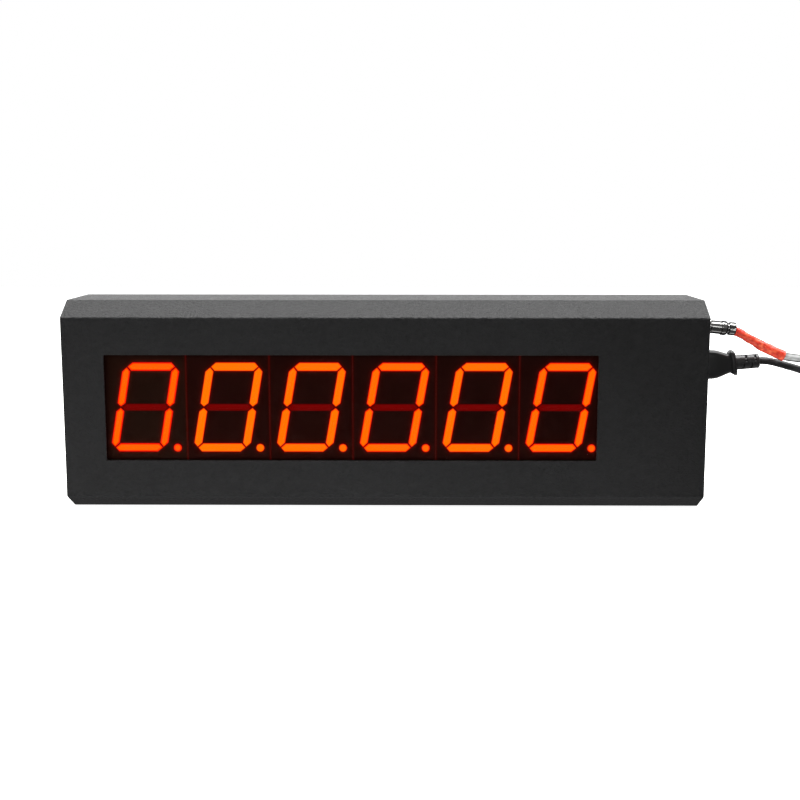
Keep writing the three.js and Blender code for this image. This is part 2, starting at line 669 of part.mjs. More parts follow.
function addWallPlug() {
  const { axisZ, tailLength, bodyLength, width, tall } = wallPlug;
  const face = tailLength + bodyLength;
  const [w, h] = [width / 2, tall / 2];
  const side = [
    [tailLength, -4], [tailLength + 8, -8], [tailLength + 14, -h], [face, -h],
    [face, h], [tailLength + 14, h], [tailLength + 8, 8], [tailLength, 4],
  ];
  const plan = [
    [tailLength, -5], [tailLength + 10, -10], [tailLength + 16, -w], [face, -w],
    [face, w], [tailLength + 16, w], [tailLength + 10, 10], [tailLength, 5],
  ];
  const body = common(barAlongY(side, -20, 20), barAlongZ(plan, -20, 20));
  const tail = turnedAboutX([[0, 0], [4.2, 0], [5.4, tailLength + 1], [0, tailLength + 1]], 16);
  const seat = block(face - 3, face + 1, -9.5, 9.5, -8, 8);
  const bridge = block(face - 3 + GAP, face, -9.2, 9.2, -7.7, 7.7);
  const half = WALL_PIN.thickness / 2;
  const blades = [-WALL_PIN.spread, WALL_PIN.spread].map((y) =>
    block(face - 1, face + WALL_PIN.length, y - half, y + half, WALL_PIN.low, WALL_PIN.high));
  const earth = rodAlongX(EARTH_PIN.radius, face - 1, face + EARTH_PIN.length, 12)
    .translate(0, 0, EARTH_PIN.z);
  const place = (geometry) => geometry.rotateZ(Math.PI).translate(farPlugX(MAINS), MAINS.curl, axisZ);
  addPiece("wall_plug_body", place(cut(join(body, tail), seat)), MATERIALS.moulding);
  addPiece("wall_plug_pin_bridge", place(join(bridge, ...blades, earth)), MATERIALS.brass);
}

function addMainsLead() {
  addPiece("mains_plug_body", makeMainsPlug(), MATERIALS.moulding);
  addPiece("mains_cord", cordAlong(MAINS_ROUTE, MAINS.diameter / 2, 20), MATERIALS.blackCord);
  addPiece("mains_cord_coil", makeCoil(MAINS), MATERIALS.blackCord);
  addPiece("mains_cord_tie", makeTie(MAINS), MATERIALS.strap);
  const end = cordAlong(endRoute(MAINS, wallPlug.axisZ), MAINS.diameter / 2, 5);
  addPiece("mains_cord_end", end, MATERIALS.blackCord);
  addWallPlug();
}

// ---------------------------------------------------------------- signal lead

// Profiles of a circular plug, from its front end along its axis.
const PLUG = {
  insertFront: 3, collarFront: 6.2, collarBack: 8.2, neckBack: 10.6, stepAt: 19.1, shellBack: 24.6,
  neckEnd: 26, end: 31.6,
};

function plugShell() {
  return turnedAboutX([
    [0, PLUG.collarFront],
    [5.7, PLUG.collarFront],
    [5.7, PLUG.collarBack],
    [4.9, PLUG.collarBack],
    [4.9, PLUG.neckBack],
    [5.65, PLUG.neckBack],
    [5.65, PLUG.stepAt],
    [6.3, PLUG.stepAt + 0.6],
    [6.3, PLUG.shellBack - 0.8],
    [5.4, PLUG.shellBack],
    [4.5, PLUG.shellBack + 0.4],
    [4.5, PLUG.neckEnd],
    [6, PLUG.neckEnd + 0.4],
    [6, PLUG.end],
    [0, PLUG.end],
  ]);
}

function plugInsert() {
  const core = rodAlongX(4.2, 0.4, PLUG.collarFront - GAP);
  const wells = contactPlaces.map(([y, z]) =>
    rodAlongX(CONTACT_WELL, -1, PLUG.insertFront, 8).translate(0, y, z));
  return cut(core, ...wells);
}

// The coupling ring, drawn about its own axis from the given distance in front of the plug's end.
function couplingRing(start) {
  return turnedAboutX([
    [RING.bore, start],
    [RING.radius - 0.4, start],
    [RING.radius, start + 0.6],
    [RING.radius, start + RING.length - 0.6],
    [RING.radius - 0.4, start + RING.length],
    [RING.lip, start + RING.length],
    [RING.lip, start + RING.length - RING.lipLength],
    [RING.bore, start + RING.length - RING.lipLength],
    [RING.bore, start],
  ]);
}

function addSignalLead() {
  const droop = (geometry) => geometry.translate(-PLUG.collarFront, 0, 0).rotateY(PLUG_DROOP)
    .translate(END + PLUG.collarFront, SOCKET.y, SOCKET.z);
  addPiece("signal_plug_shell", droop(plugShell()), MATERIALS.nickel);
  addPiece("signal_plug_insert", droop(plugInsert()), MATERIALS.insert);
  const ring = couplingRing(RING.start).translate(END, SOCKET.y, SOCKET.z);
  addPiece("coupling_ring", ring, MATERIALS.nickel);
  addPiece("heat_shrink_sleeve", cordAlong(SLEEVE_ROUTE, SLEEVE_RADIUS, 8, 10), MATERIALS.sleeve);
  addPiece("signal_cable", cordAlong(SIGNAL_ROUTE, SIGNAL.diameter / 2, 24), MATERIALS.clearCord);
  addPiece("signal_cable_coil", makeCoil(SIGNAL), MATERIALS.clearCord);
  addPiece("signal_cable_tie", makeTie(SIGNAL), MATERIALS.strap);
  const axisZ = coilRing(SIGNAL).top + GAP + RING.radius;
  const end = cordAlong(endRoute(SIGNAL, axisZ), SIGNAL.diameter / 2, 5);
  addPiece("signal_cable_end", end, MATERIALS.clearCord);
  const laid = (geometry) => geometry.translate(farPlugX(SIGNAL) - PLUG.end, SIGNAL.curl, axisZ);
  addPiece("far_plug_shell", laid(plugShell()), MATERIALS.nickel);
  addPiece("far_coupling_ring", laid(couplingRing(RING.start)), MATERIALS.nickel);
}

// ---------------------------------------------------------------- assembly

addPiece("case_shell", makeCaseShell(), MATERIALS.powderCoat);
addPiece("left_end_plate", makeEndPlate(-1), MATERIALS.powderCoat);
addPiece("right_end_plate", makeEndPlate(1, inletOpening, socketHole), MATERIALS.powderCoat);
addPiece("rear_cover", makeRearCover(), MATERIALS.powderCoat);
coverScrews.forEach(([x, z], i) => {
  const screw = countersunk(COVER_SCREW.radius, COVER_SCREW.headRadius).translate(x, 0, z);
  addPiece(`cover_screw_${i + 1}`, screw, MATERIALS.zincScrew);
});

const filterPlate = block(
  WINDOW.left - FILTER.overlap, WINDOW.right + FILTER.overlap, FRONT + SHEET + GAP, filterBack,
  WINDOW.bottom - FILTER.overlap, WINDOW.top + FILTER.overlap,
);
addPiece("window_filter", filterPlate, MATERIALS.filter);
for (let i = 0; i < MODULE.count; i += 1) {
  addPiece(`digit_${i + 1}_housing`, makeHousing(i), MATERIALS.housing);
  addPiece(`digit_${i + 1}_segments`, makeSegments(i), MATERIALS.segment);
}
addPiece("display_board", makeDisplayBoard(), MATERIALS.board);
boardStuds.forEach((at, i) => addPiece(`board_nut_${i + 1}`, makeBoardNut(at), MATERIALS.zincScrew));

addPiece("control_board", makeControlBoard(), MATERIALS.board);
addPiece("supply_tray", makeSupplyTray(), MATERIALS.galvanised);
addPiece("supply_cover", makeSupplyCover(), MATERIALS.galvanised);
addPiece("supply_board", makeSupplyBoard(), MATERIALS.board);
addHarnesses();

addInlet();
addSocket();
addMainsLead();
addSignalLead();

export default timer;
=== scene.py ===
"""The looks of a gym round timer: a powder-coated sheet-metal case with six lit seven-segment digits
behind a tinted window, and the two leads plugged into its right end. Lengths are millimetres unless a
comment says otherwise, in the CAD model's frame: +X is the reader's right, -Y faces the reader, +Z is up.
"""
import json
from math import ceil, copysign, cos, exp, hypot, inf, pi, radians, sin, sqrt, tan, tau

import bmesh
import bpy
from mathutils import Matrix, Vector, noise


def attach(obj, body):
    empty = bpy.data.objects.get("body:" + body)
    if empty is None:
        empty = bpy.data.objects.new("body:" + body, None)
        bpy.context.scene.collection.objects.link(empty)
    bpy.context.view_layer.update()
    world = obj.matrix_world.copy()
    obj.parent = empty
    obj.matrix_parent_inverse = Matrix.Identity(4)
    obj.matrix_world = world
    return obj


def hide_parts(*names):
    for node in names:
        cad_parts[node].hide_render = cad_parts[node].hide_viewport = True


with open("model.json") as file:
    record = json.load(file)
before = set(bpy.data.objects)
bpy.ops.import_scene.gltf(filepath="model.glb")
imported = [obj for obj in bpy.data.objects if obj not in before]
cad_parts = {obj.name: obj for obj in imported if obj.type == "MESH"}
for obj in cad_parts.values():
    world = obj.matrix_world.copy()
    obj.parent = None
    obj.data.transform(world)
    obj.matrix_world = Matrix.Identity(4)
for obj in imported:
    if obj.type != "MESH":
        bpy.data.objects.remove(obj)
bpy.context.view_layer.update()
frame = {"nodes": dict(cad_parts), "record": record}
NODES = frame["nodes"]
MM = 0.001

# ---- dimensions repeated from the CAD model

CASE_WIDTH, CASE_DEPTH, CASE_HEIGHT = 540, 95, 178
CHAMFER_BACK, CHAMFER_UP, SHEET, LIP, GAP = 23.5, 13, 1.5, 12, 0.3
FRONT, REAR, END = -CASE_DEPTH / 2, CASE_DEPTH / 2, CASE_WIDTH / 2
WINDOW = {"left": -235, "right": 178.4, "bottom": 44.2, "top": 133.6}
SCREW_X, SCREW_RADIUS, SCREW_HEAD = (-240, 0, 240), 1.5, 2.8
SCREW_Z = (SHEET + LIP / 2, CASE_HEIGHT - SHEET - LIP / 2)
STUD_X, STUD_Z, STUD_RADIUS, STUD_LENGTH = (-190, 140), (37.5, 140.5), 1.5, 20

MODULE = {
    "count": 6, "pitch": 70, "first": -202, "z": 89,
    "width": 69.7, "height": 89.7, "depth": 11, "wall": 1.6,
}
DIGIT_WIDTH, DIGIT_HEIGHT, DIGIT_SLANT = 48.2, 76.2, radians(10)
BAR = {"level": 7.3, "upright": 7, "middle": 6.1, "gap": 0.8, "point_out": 3.6}
DOT_X, DOT_Z, DOT_RADIUS = 26.5, -34.7, 3.5
MODULE_FACE = FRONT + SHEET + 2 * GAP + 2

INLET_Y, INLET_Z = 5, 120.1
SOCKET_Y, SOCKET_Z = -5, 154.5
PLUG_DROOP, PLUG_LIFT = radians(6), radians(4.3)
COLLAR_FRONT, PLUG_END = 6.2, 31.6
RING_START, RING_LENGTH, RING_RADIUS, RING_LIP = 2.4, 7.4, 7.4, 1.3
INLET_RIM = 2.4  # how far the inlet stands out from the end plate
PLUG_DEPTH = 15.8  # how deep the mains plug's nose goes into the inlet

TIE_WIDTH, TIE_THICK, TIE_CLEARANCE = 9, 0.8, 0.3
STRAIGHT_END = 3  # straight cord just before the plug that lies on each coil
MAINS = {
    "diameter": 6.6, "coil_x": 440, "turn": 48, "columns": 3.1, "rise": 6.7, "curl": 29, "end_turn": 41.3,
    "tie_angle": 200,
}
SIGNAL = {
    "diameter": 7.2, "coil_x": 566, "turn": 49, "columns": 3.1, "rise": 7.3, "curl": 29, "end_turn": 41.7,
    "tie_angle": 160,
}
# Routes of the two leads, the same points as in the CAD model.
MAINS_ROUTE = [
    (327.4, 5, 123.3), (330, 5, 123.4), (336, 5, 122.7), (343, 4.6, 121), (352.5, 4, 118.4),
    (363, 2.5, 115.2), (375, -1, 109.6), (388, -9, 99.5), (400, -20.5, 82), (411, -32.5, 59.5),
    (421, -41.5, 40.5), (431, -46.9, 26.6), (440, -48, 19),
]
SLEEVE_ROUTE = [
    (303, -5, 149.5), (304.8, -5, 148.9), (309.5, -5, 146.3), (316.9, -5, 142.2), (324.4, -5, 137.9),
    (331, -5, 134.7), (337.1, -5, 131.8), (341.6, -5, 129.8), (344.6, -5, 128.8),
]
SIGNAL_ROUTE = [
    (345, -5, 128.65), (348, -5, 127.8), (353, -5, 127.1), (360, -5, 126.2), (372, -5, 124.1),
    (390, -5.5, 119.8), (412, -7.5, 112.4), (440, -11.5, 99.5), (470, -18, 82), (500, -27, 62.5),
    (527, -37.5, 44.5), (548, -45.6, 31), (566, -49, 21),
]


def move(x, y, z):
    return Matrix.Translation((x, y, z))


def turn(angle, axis):
    return Matrix.Rotation(angle, 4, axis)


# ---- mesh helpers


def link_object(name, data):
    made = bpy.data.objects.new(name, data)
    bpy.context.scene.collection.objects.link(made)
    return made


def new_mesh(name, shell):
    mesh = bpy.data.meshes.new(name)
    mesh.from_pydata(shell[0], [], shell[1])
    return mesh


def turn_outwards(mesh, weld=0.0):
    """Makes the faces of a mesh point outwards, after welding points closer than `weld`."""
    bm = bmesh.new()
    bm.from_mesh(mesh)
    if weld:
        bmesh.ops.remove_doubles(bm, verts=bm.verts, dist=weld)
    bmesh.ops.recalc_face_normals(bm, faces=bm.faces)
    bm.to_mesh(mesh)
    bm.free()


def finish_piece(name, mesh, body, slot, replaces=(), smooth=40, material=None):
    """Links a mesh as a piece, shaded smooth except across edges sharper than `smooth` degrees."""
    mesh.polygons.foreach_set("use_smooth", [True] * len(mesh.polygons))
    mesh.set_sharp_from_angle(angle=radians(smooth))
    piece = link_object(name, mesh)
    mesh.materials.clear()
    mesh.materials.append(material or LOOKS[slot])
    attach(piece, body)
    if replaces:
        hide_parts(*replaces)
    return piece


def mesh_piece(name, shell, body, slot, replaces=(), smooth=40):
    """A piece from points in metres and faces."""
    mesh = new_mesh(name, shell)
    turn_outwards(mesh, 1e-6)
    return finish_piece(name, mesh, body, slot, replaces, smooth)


def skin(rings, closed=True):
    """Faces over equal rings of points, each ring joined to the next, with both ends capped when closed."""
    count = len(rings[0])
    points = [p for ring in rings for p in ring]
    faces = []
    for r in range(len(rings) - 1):
        a, b = r * count, (r + 1) * count
        for i in range(count):
            j = (i + 1) % count
            faces.append((a + i, a + j, b + j, b + i))
    if closed:
        faces.append(tuple(reversed(range(count))))
        faces.append(tuple(range((len(rings) - 1) * count, len(rings) * count)))
    return points, faces


def turned(profile, sides, radius_at=None):
    """Rings of a (distance, radius) profile turned about the X axis, in millimetres."""
    rings = []
    for x, r in profile:
        ring = []
        for i in range(sides):
            angle = tau * i / sides
            radius = radius_at(x, angle, r) if radius_at else r
            ring.append(Vector((x, radius * cos(angle), radius * sin(angle))))
        rings.append(ring)
    return rings


def placed(rings, matrix):
    return [[(matrix @ p) * MM for p in ring] for ring in rings]


def catmull(points, per_span):
    """A centripetal Catmull-Rom curve through the points, as the CAD model's routes are drawn."""
    pts = [Vector(p) for p in points]
    pts = [2 * pts[0] - pts[1], *pts, 2 * pts[-1] - pts[-2]]
    line = []
    for k in range(1, len(pts) - 2):
        p0, p1, p2, p3 = pts[k - 1 : k + 3]
        d0, d1, d2 = ((b - a).length ** 0.5 for a, b in ((p0, p1), (p1, p2), (p2, p3)))
        t1 = ((p1 - p0) / d0 - (p2 - p0) / (d0 + d1) + (p2 - p1) / d1) * d1
        t2 = ((p2 - p1) / d1 - (p3 - p1) / (d1 + d2) + (p3 - p2) / d2) * d1
        for s in range(per_span):
            t = s / per_span
            h = (2 * t**3 - 3 * t**2 + 1, t**3 - 2 * t**2 + t, -2 * t**3 + 3 * t**2, t**3 - t**2)
            line.append(h[0] * p1 + h[1] * t1 + h[2] * p2 + h[3] * t2)
    line.append(pts[-2])
    return line


def along_line(line, radius_at, sides):
    """Rings round a line of points; radius_at(distance along the line, angle) gives the radius."""
    rings = []
    side = Vector((0, 1, 0))
    travelled = 0.0
    for k, p in enumerate(line):
        if k:
            travelled += (p - line[k - 1]).length
        ahead = (line[min(k + 1, len(line) - 1)] - line[max(k - 1, 0)]).normalized()
        side = (side - ahead * side.dot(ahead)).normalized()
        up = ahead.cross(side)
        ring = []
        for i in range(sides):
            angle = tau * i / sides
            radius = radius_at(travelled, angle)
            ring.append(p + radius * (cos(angle) * side + sin(angle) * up))
        rings.append(ring)
    return rings


def inset(points, distance):
    """An outline moved inwards by a distance, corner by corner."""
    count = len(points)
    area = sum(points[i - 1][0] * points[i][1] - points[i][0] * points[i - 1][1] for i in range(count))
    sign = copysign(distance, area)
    out = []
    for i, (x, y) in enumerate(points):
        before, after = points[i - 1], points[(i + 1) % count]
        a = Vector((x - before[0], y - before[1])).normalized()
        b = Vector((after[0] - x, after[1] - y)).normalized()
        half = (a + b).normalized()
        reach = sign / sqrt((1 + a.dot(b)) / 2)
        out.append((x - half.y * reach, y + half.x * reach))
    return out


def rounded(points, radius, steps=4):
    """An outline with each corner turned into an arc; radius is one number, or one for each corner."""
    radii = radius if isinstance(radius, (list, tuple)) else [radius] * len(points)
    out = []
    for i, (x, y) in enumerate(points):
        corner = Vector((x, y))
        a = (Vector(points[i - 1]) - corner).normalized()
        b = (Vector(points[(i + 1) % len(points)]) - corner).normalized()
        half_angle = a.angle(b) / 2
        if radii[i] <= 0:
            out.append((x, y))
            continue
        reach = radii[i] / tan(half_angle)
        centre = corner + (a + b).normalized() * (radii[i] / sin(half_angle))
        start, stop = corner + a * reach - centre, corner + b * reach - centre
        sweep = start.angle_signed(stop)
        for s in range(steps + 1):
            arm = start.copy()
            arm.rotate(Matrix.Rotation(-sweep * s / steps, 2))
            out.append(tuple(centre + arm))
    return out


def prism(outline, y0, y1):
    """Points in millimetres and faces of an (x, z) outline made solid from y0 back to y1."""
    return skin([[Vector((x, y, z)) for x, z in outline] for y in (y0, y1)])


def temporary(name, shell):
    """An object in millimetres that a boolean cut uses up."""
    mesh = new_mesh(name, shell)
    turn_outwards(mesh)
    return link_object(name, mesh)


def merged(parts):
    """Several (points, faces) as one."""
    points, faces = [], []
    for part_points, part_faces in parts:
        start = len(points)
        points += list(part_points)
        faces += [tuple(start + i for i in face) for face in part_faces]
    return points, faces


def evaluated_mesh(piece):
    """The mesh of an object with its modifiers applied; the object and its own mesh are removed."""
    bpy.context.view_layer.update()
    graph = bpy.context.evaluated_depsgraph_get()
    mesh = bpy.data.meshes.new_from_object(piece.evaluated_get(graph))
    bpy.data.objects.remove(piece)
    return mesh


def cut_mesh(base, cutters):
    """The mesh of one temporary object less a list of (points, faces), all in the same unit."""
    tool = temporary("cutter", merged(cutters))
    cut = base.modifiers.new("cut", "BOOLEAN")
    cut.operation, cut.solver, cut.object = "DIFFERENCE", "EXACT", tool
    cut.use_self = True
    mesh = evaluated_mesh(base)
    bpy.data.objects.remove(tool)
    return mesh


def bevel(piece, width):
    """Rounds the edges of a piece that are sharper than 40 degrees."""
    rounding = piece.modifiers.new("edges", "BEVEL")
    rounding.width = width * MM
    rounding.segments = 2
    rounding.limit_method = "ANGLE"
    rounding.angle_limit = radians(40)
    rounding.harden_normals = True


# ---- materials

DEPTH_SPAN = 3.0  # a light pipe's depth attribute reaches 1 this many millimetres from its edge


def fill_ramp(node, stops):
    """Gives a colour ramp its stops, from (place, colour) pairs."""
    elements = node.color_ramp.elements
    while len(elements) < len(stops):
        elements.new(0.5)
    for element, (place, colour) in zip(elements, stops):
        element.position = place
        element.color = (*colour, 1)


class Finish:
    """A Principled material with short ways to add procedural detail, in object coordinates."""

    def __init__(self, name, colour, roughness, metallic=0.0, specular=0.5, **sockets):
        self.material = bpy.data.materials.new(name)
        self.material.use_nodes = True
        tree = self.material.node_tree
        self.nodes, self.links = tree.nodes, tree.links
        self.shader = self.nodes["Principled BSDF"]
        self.set_inputs(self.shader, Base_Color=(*colour, 1), Roughness=roughness, Metallic=metallic)
        self.set_inputs(self.shader, Specular_IOR_Level=specular, **sockets)
        self.where = self.nodes.new("ShaderNodeTexCoord").outputs["Object"]

    def set_inputs(self, node, **inputs):
        """Sets each named input to a value, or links it where it is given another node's output."""
        for key, value in inputs.items():
            socket = node.inputs[key.replace("_", " ")]
            if isinstance(value, bpy.types.NodeSocket):
                self.links.new(value, socket)
            else:
                socket.default_value = value
        return node

    def add(self, kind, **inputs):
        return self.set_inputs(self.nodes.new("ShaderNode" + kind), **inputs)

    def noise(self, scale, detail, stretch=None, roughness=0.5):
        where = self.where
        if stretch:
            where = self.add("Mapping", Vector=where, Scale=stretch).outputs["Vector"]
        node = self.add("TexNoise", Vector=where, Scale=scale, Detail=detail, Roughness=roughness)
        return node.outputs["Fac"]

    def voronoi(self, scale):
        return self.add("TexVoronoi", Vector=self.where, Scale=scale).outputs["Distance"]

    def attribute(self, name):
        node = self.add("Attribute")
        node.attribute_name = name
        return node.outputs["Fac"]

    def facing(self):
        """0 where the surface faces the ray, 1 where it turns away."""
        return self.add("LayerWeight").outputs["Facing"]

    def ramp(self, source, stops):
        node = self.add("ValToRGB", Fac=source)
        fill_ramp(node, stops)
        return node.outputs["Color"]

    def mix(self, kind, a, b, factor):
        """Two floats or two colours mixed; a Mix node's inputs share names, so they go by number."""
        node = self.add("Mix")
        node.data_type = kind
        node.inputs["Factor"].default_value = factor
        first = 2 if kind == "FLOAT" else 6
        self.links.new(a, node.inputs[first])
        self.links.new(b, node.inputs[first + 1])
        return node

    def mixed(self, a, b, factor):
        return self.mix("FLOAT", a, b, factor).outputs[0]

    def colour(self, source, stops):
        self.set_inputs(self.shader, Base_Color=self.ramp(source, stops))

    def shaded(self, base, shade):
        """Sets the colour to one ramp's colours darkened by another's."""
        node = self.mix("RGBA", base, shade, 1)
        node.blend_type = "MULTIPLY"
        self.set_inputs(self.shader, Base_Color=node.outputs[2])

    def glow(self, source, stops, strength):
        self.set_inputs(self.shader, Emission_Color=self.ramp(source, stops), Emission_Strength=strength)
        return self

    def roughness(self, source, low, high):
        """Roughness from low to high as the source goes over 0.3 to 0.7, most of a noise's range."""
        node = self.add("MapRange", Value=source, From_Min=0.3, From_Max=0.7, To_Min=low, To_Max=high)
        self.set_inputs(self.shader, Roughness=node.outputs["Result"])
        return self

    def bump(self, source, distance, strength):
        node = self.add("Bump", Height=source, Distance=distance * MM, Strength=strength)
        self.set_inputs(self.shader, Normal=node.outputs["Normal"])
        return self


def powder_coat():
    made = Finish("powder_coat", (0.009, 0.009, 0.0092), 0.5, specular=0.22)
    grain = made.noise(430, 3, roughness=0.6)
    cloud = made.noise(7, 2)
    blacks = [(0.3, (0.0055, 0.0055, 0.0056)), (0.7, (0.0104, 0.0104, 0.0107))]
    made.colour(made.mixed(grain, cloud, 0.25), blacks)
    made.roughness(grain, 0.4, 0.58)
    return made.bump(grain, 1.3, 0.9).material


def dark_filter():
    """Both faces of the sheet are crossed, so each lets the square root of the light through."""
    made = Finish("window_filter", (0.002, 0.0006, 0.0004), 0.12, specular=0.04, Alpha=0.33)
    made.roughness(made.noise(60, 3), 0.09, 0.15)
    return made.material


def module_face(name, tint):
    """The face round the light pipes, with a painted red glow where their light spills and painted shade
    beside the window's frame.
    """
    made = Finish(name, tint, 0.6, specular=0.1)
    made.colour(made.attribute("shade"), [(0.0, [0.3 * c for c in tint]), (1.0, tint)])
    grain = made.noise(1500, 3)
    made.roughness(grain, 0.5, 0.7)
    made.bump(grain, 0.05, 0.4)
    reds = [(0, (0.003, 0, 0)), (0.2, (0.012, 0.0001, 0)), (0.6, (0.07, 0.0006, 0)), (1, (0.2, 0.0015, 0))]
    return made.glow(made.attribute("halo"), reds, 1.0).material


def lit_bars(name, core, red, blend):
    """Glowing light pipes: pure red to `red` mm from a bar's edge, then orange by `blend` mm further in."""
    made = Finish(name, (0.02, 0.002, 0.0), 0.4)
    stops = [
        (0.0, (0.85, 0.001, 0)), (red / DEPTH_SPAN, (1, 0.003, 0)),
        ((red + blend / 2) / DEPTH_SPAN, (1, core * 0.4, 0)), ((red + blend) / DEPTH_SPAN, (1, core, 0)),
        (1.0, (1, core, 0)),
    ]
    return made.glow(made.attribute("depth"), stops, 2.4).material


# An unlit light pipe with a faint painted red glow, brighter towards its middle.
def unlit_bar():
    made = Finish("unlit_bar", (0.03, 0.0, 0.0), 0.5, specular=0.1)
    return made.glow(made.attribute("depth"), [(0.0, (0.12, 0, 0)), (0.3, (0.26, 0, 0))], 1.3).material


def bright_nickel():
    """Plating with a painted reflection: bright where it faces the eye and painted dark towards its outline.
    """
    made = Finish("nickel_plate", (0.72, 0.71, 0.69), 0.16, 1.0)
    painted_reflection_greys = [(0.0, (0.74, 0.73, 0.71)), (0.25, (0.7, 0.69, 0.67)), (0.33, (0.012, 0.012, 0.012))]
    # painted reflection: bright plating where the surface faces the ray, near black towards its outline
    made.colour(made.facing(), painted_reflection_greys)
    made.roughness(made.noise(260, 3), 0.08, 0.2)
    return made.bump(made.noise(900, 2), 0.01, 0.25).material


def black_moulding():
    made = Finish("black_moulding", (0.0125, 0.0125, 0.013), 0.36)
    grain = made.noise(1100, 3)
    made.roughness(grain, 0.3, 0.46)
    return made.bump(grain, 0.06, 0.35).material


def black_jacket():
    made = Finish("black_cord", (0.009, 0.009, 0.0095), 0.22, specular=0.14)
    # painted reflection: the lighter streaks in the colour stand in for reflections; the same noise also
    # varies roughness and bump
    streak_and_painted_reflection = made.noise(70, 4, stretch=(1, 3.5, 3.5))
    made.colour(streak_and_painted_reflection, [(0.42, (0.014, 0.014, 0.014)), (0.65, (0.05, 0.05, 0.052))])
    made.roughness(streak_and_painted_reflection, 0.18, 0.36)
    return made.bump(streak_and_painted_reflection, 0.5, 0.4).material


def clear_jacket():
    """A clear jacket over a silver-grey screen, with painted shading across it: light in the middle, then a
    dark line and a grey rim.
    """
    made = Finish("grey_cable", (0.6, 0.61, 0.6), 0.3, specular=0.2)
    braid = made.noise(420, 3, stretch=(0.35, 1, 1))
    screen = made.ramp(braid, [(0.3, (0.32, 0.325, 0.32)), (0.7, (0.56, 0.57, 0.56))])
    # painted shade across the cable by the facing angle: light in the middle, then a dark line and a grey
    # rim
    across = [(0.0, 1.0), (0.24, 0.85), (0.33, 0.5), (0.4, 0.07), (0.56, 0.06), (0.68, 0.5), (1.0, 0.55)]
    made.shaded(screen, made.ramp(made.facing(), [(at, (level,) * 3) for at, level in across]))
    return made.bump(braid, 0.08, 0.3).material


def heat_shrink():
    made = Finish("heat_shrink", (0.72, 0.075, 0.03), 0.42, specular=0.45)
    cloud = made.noise(230, 4)
    reds = [(0.3, (0.52, 0.016, 0.009)), (0.5, (0.70, 0.052, 0.022)), (0.72, (0.93, 0.165, 0.065))]
    # painted shade: the colour darkens to deep red where the surface turns away from the ray
    rim = [(0.45, (1, 1, 1)), (0.8, (0.42, 0.25, 0.25))]
    made.shaded(made.ramp(cloud, reds), made.ramp(made.facing(), rim))
    made.roughness(cloud, 0.34, 0.5)
    return made.bump(cloud, 0.7, 0.5).material


def strap_cloth():
    made = Finish("tie_strap", (0.012, 0.012, 0.012), 0.9, Sheen_Weight=0.3)
    loops = made.voronoi(1400)
    made.colour(loops, [(0.1, (0.02, 0.02, 0.02)), (0.7, (0.008, 0.008, 0.008))])
    return made.bump(loops, 0.25, 0.8).material


def brass():
    made = Finish("contact_brass", (0.78, 0.56, 0.24), 0.28, 1.0)
    return made.roughness(made.noise(300, 3, stretch=(0.15, 1, 1)), 0.2, 0.38).material


def zinc():
    made = Finish("zinc_screw", (0.55, 0.55, 0.53), 0.35, 1.0)
    return made.roughness(made.noise(500, 3), 0.25, 0.45).material


def galvanised():
    made = Finish("galvanised_sheet", (0.6, 0.61, 0.62), 0.42, 1.0)
    spangle = made.voronoi(120)
    made.colour(spangle, [(0.0, (0.5, 0.51, 0.52)), (0.9, (0.68, 0.69, 0.7))])
    return made.roughness(spangle, 0.34, 0.52).material


def circuit_board():
    made = Finish("circuit_board", (0.02, 0.12, 0.05), 0.35)
    greens = [(0.42, (0.012, 0.09, 0.035)), (0.5, (0.02, 0.14, 0.06)), (0.58, (0.02, 0.16, 0.07))]
    made.colour(made.noise(220, 2), greens)
    return made.material


def plain(name, colour, roughness):
    made = Finish(name, colour, roughness)
    grain = made.noise(900, 3)
    made.roughness(grain, roughness * 0.85, roughness * 1.15)
    return made.bump(grain, 0.03, 0.3).material


LOOKS = {
    "powder_coat": powder_coat(),
    "zinc_screw": zinc(),
    "window_filter": dark_filter(),
    "digit_housing": module_face("module_face", (0.022, 0.0032, 0.0015)),
    "circuit_board": circuit_board(),
    "galvanised_sheet": galvanised(),
    "harness": plain("harness", (0.4, 0.05, 0.035), 0.45),
    "inlet_nylon": plain("inlet_nylon", (0.015, 0.015, 0.015), 0.5),
    "contact_brass": brass(),
    "nickel_plate": bright_nickel(),
    "contact_insert": plain("contact_insert", (0.02, 0.02, 0.021), 0.45),
    "black_moulding": black_moulding(),
    "black_cord": black_jacket(),
    "heat_shrink": heat_shrink(),
    "grey_cable": clear_jacket(),
    "tie_strap": strap_cloth(),
}
UNLIT = unlit_bar()
BROWN_FACE = module_face("module_face_brown", (0.021, 0.0085, 0.0038))

for row in frame["record"]["subparts"]:
    node, slot_name = NODES[row["node"]], row["material_slot"]
    look = LOOKS.get(slot_name, UNLIT)
    node.data.materials.clear()
    node.data.materials.append(look)

# ---- camera

CAMERA_AT = (0.0199, -1.0775, 0.2537)
CAMERA_PITCH, CAMERA_YAW, CAMERA_ROLL = radians(8.70), radians(-0.40), radians(-0.02)
camera_data = bpy.data.cameras.new("camera")
camera_data.lens = 55.98
camera_data.sensor_width = 36
camera_data.clip_start, camera_data.clip_end = 0.01, 100
camera = link_object("camera", camera_data)
camera.location = CAMERA_AT
camera.rotation_euler = (pi / 2 - CAMERA_PITCH, CAMERA_ROLL, -CAMERA_YAW)
bpy.context.scene.camera = camera

# ---- free cords


def layers(lead):
    """Heights of the middles of a coil's two layers, and of its top."""
    base = TIE_THICK + TIE_CLEARANCE
    lower = base + lead["diameter"] / 2
    return lower, lower + lead["rise"], base + lead["rise"] + lead["diameter"]


def far_plug_x(lead):
    """Where the cord goes into the plug that lies on its coil."""
    return lead["coil_x"] + lead["end_turn"] - lead["curl"] - STRAIGHT_END


def on_coil(lead, degrees, radius, z):
    a = radians(degrees)
    return (lead["coil_x"] + radius * cos(a), radius * sin(a), z)


def ease(t):
    t = min(1.0, max(0.0, t))
    return t * t * (3 - 2 * t)


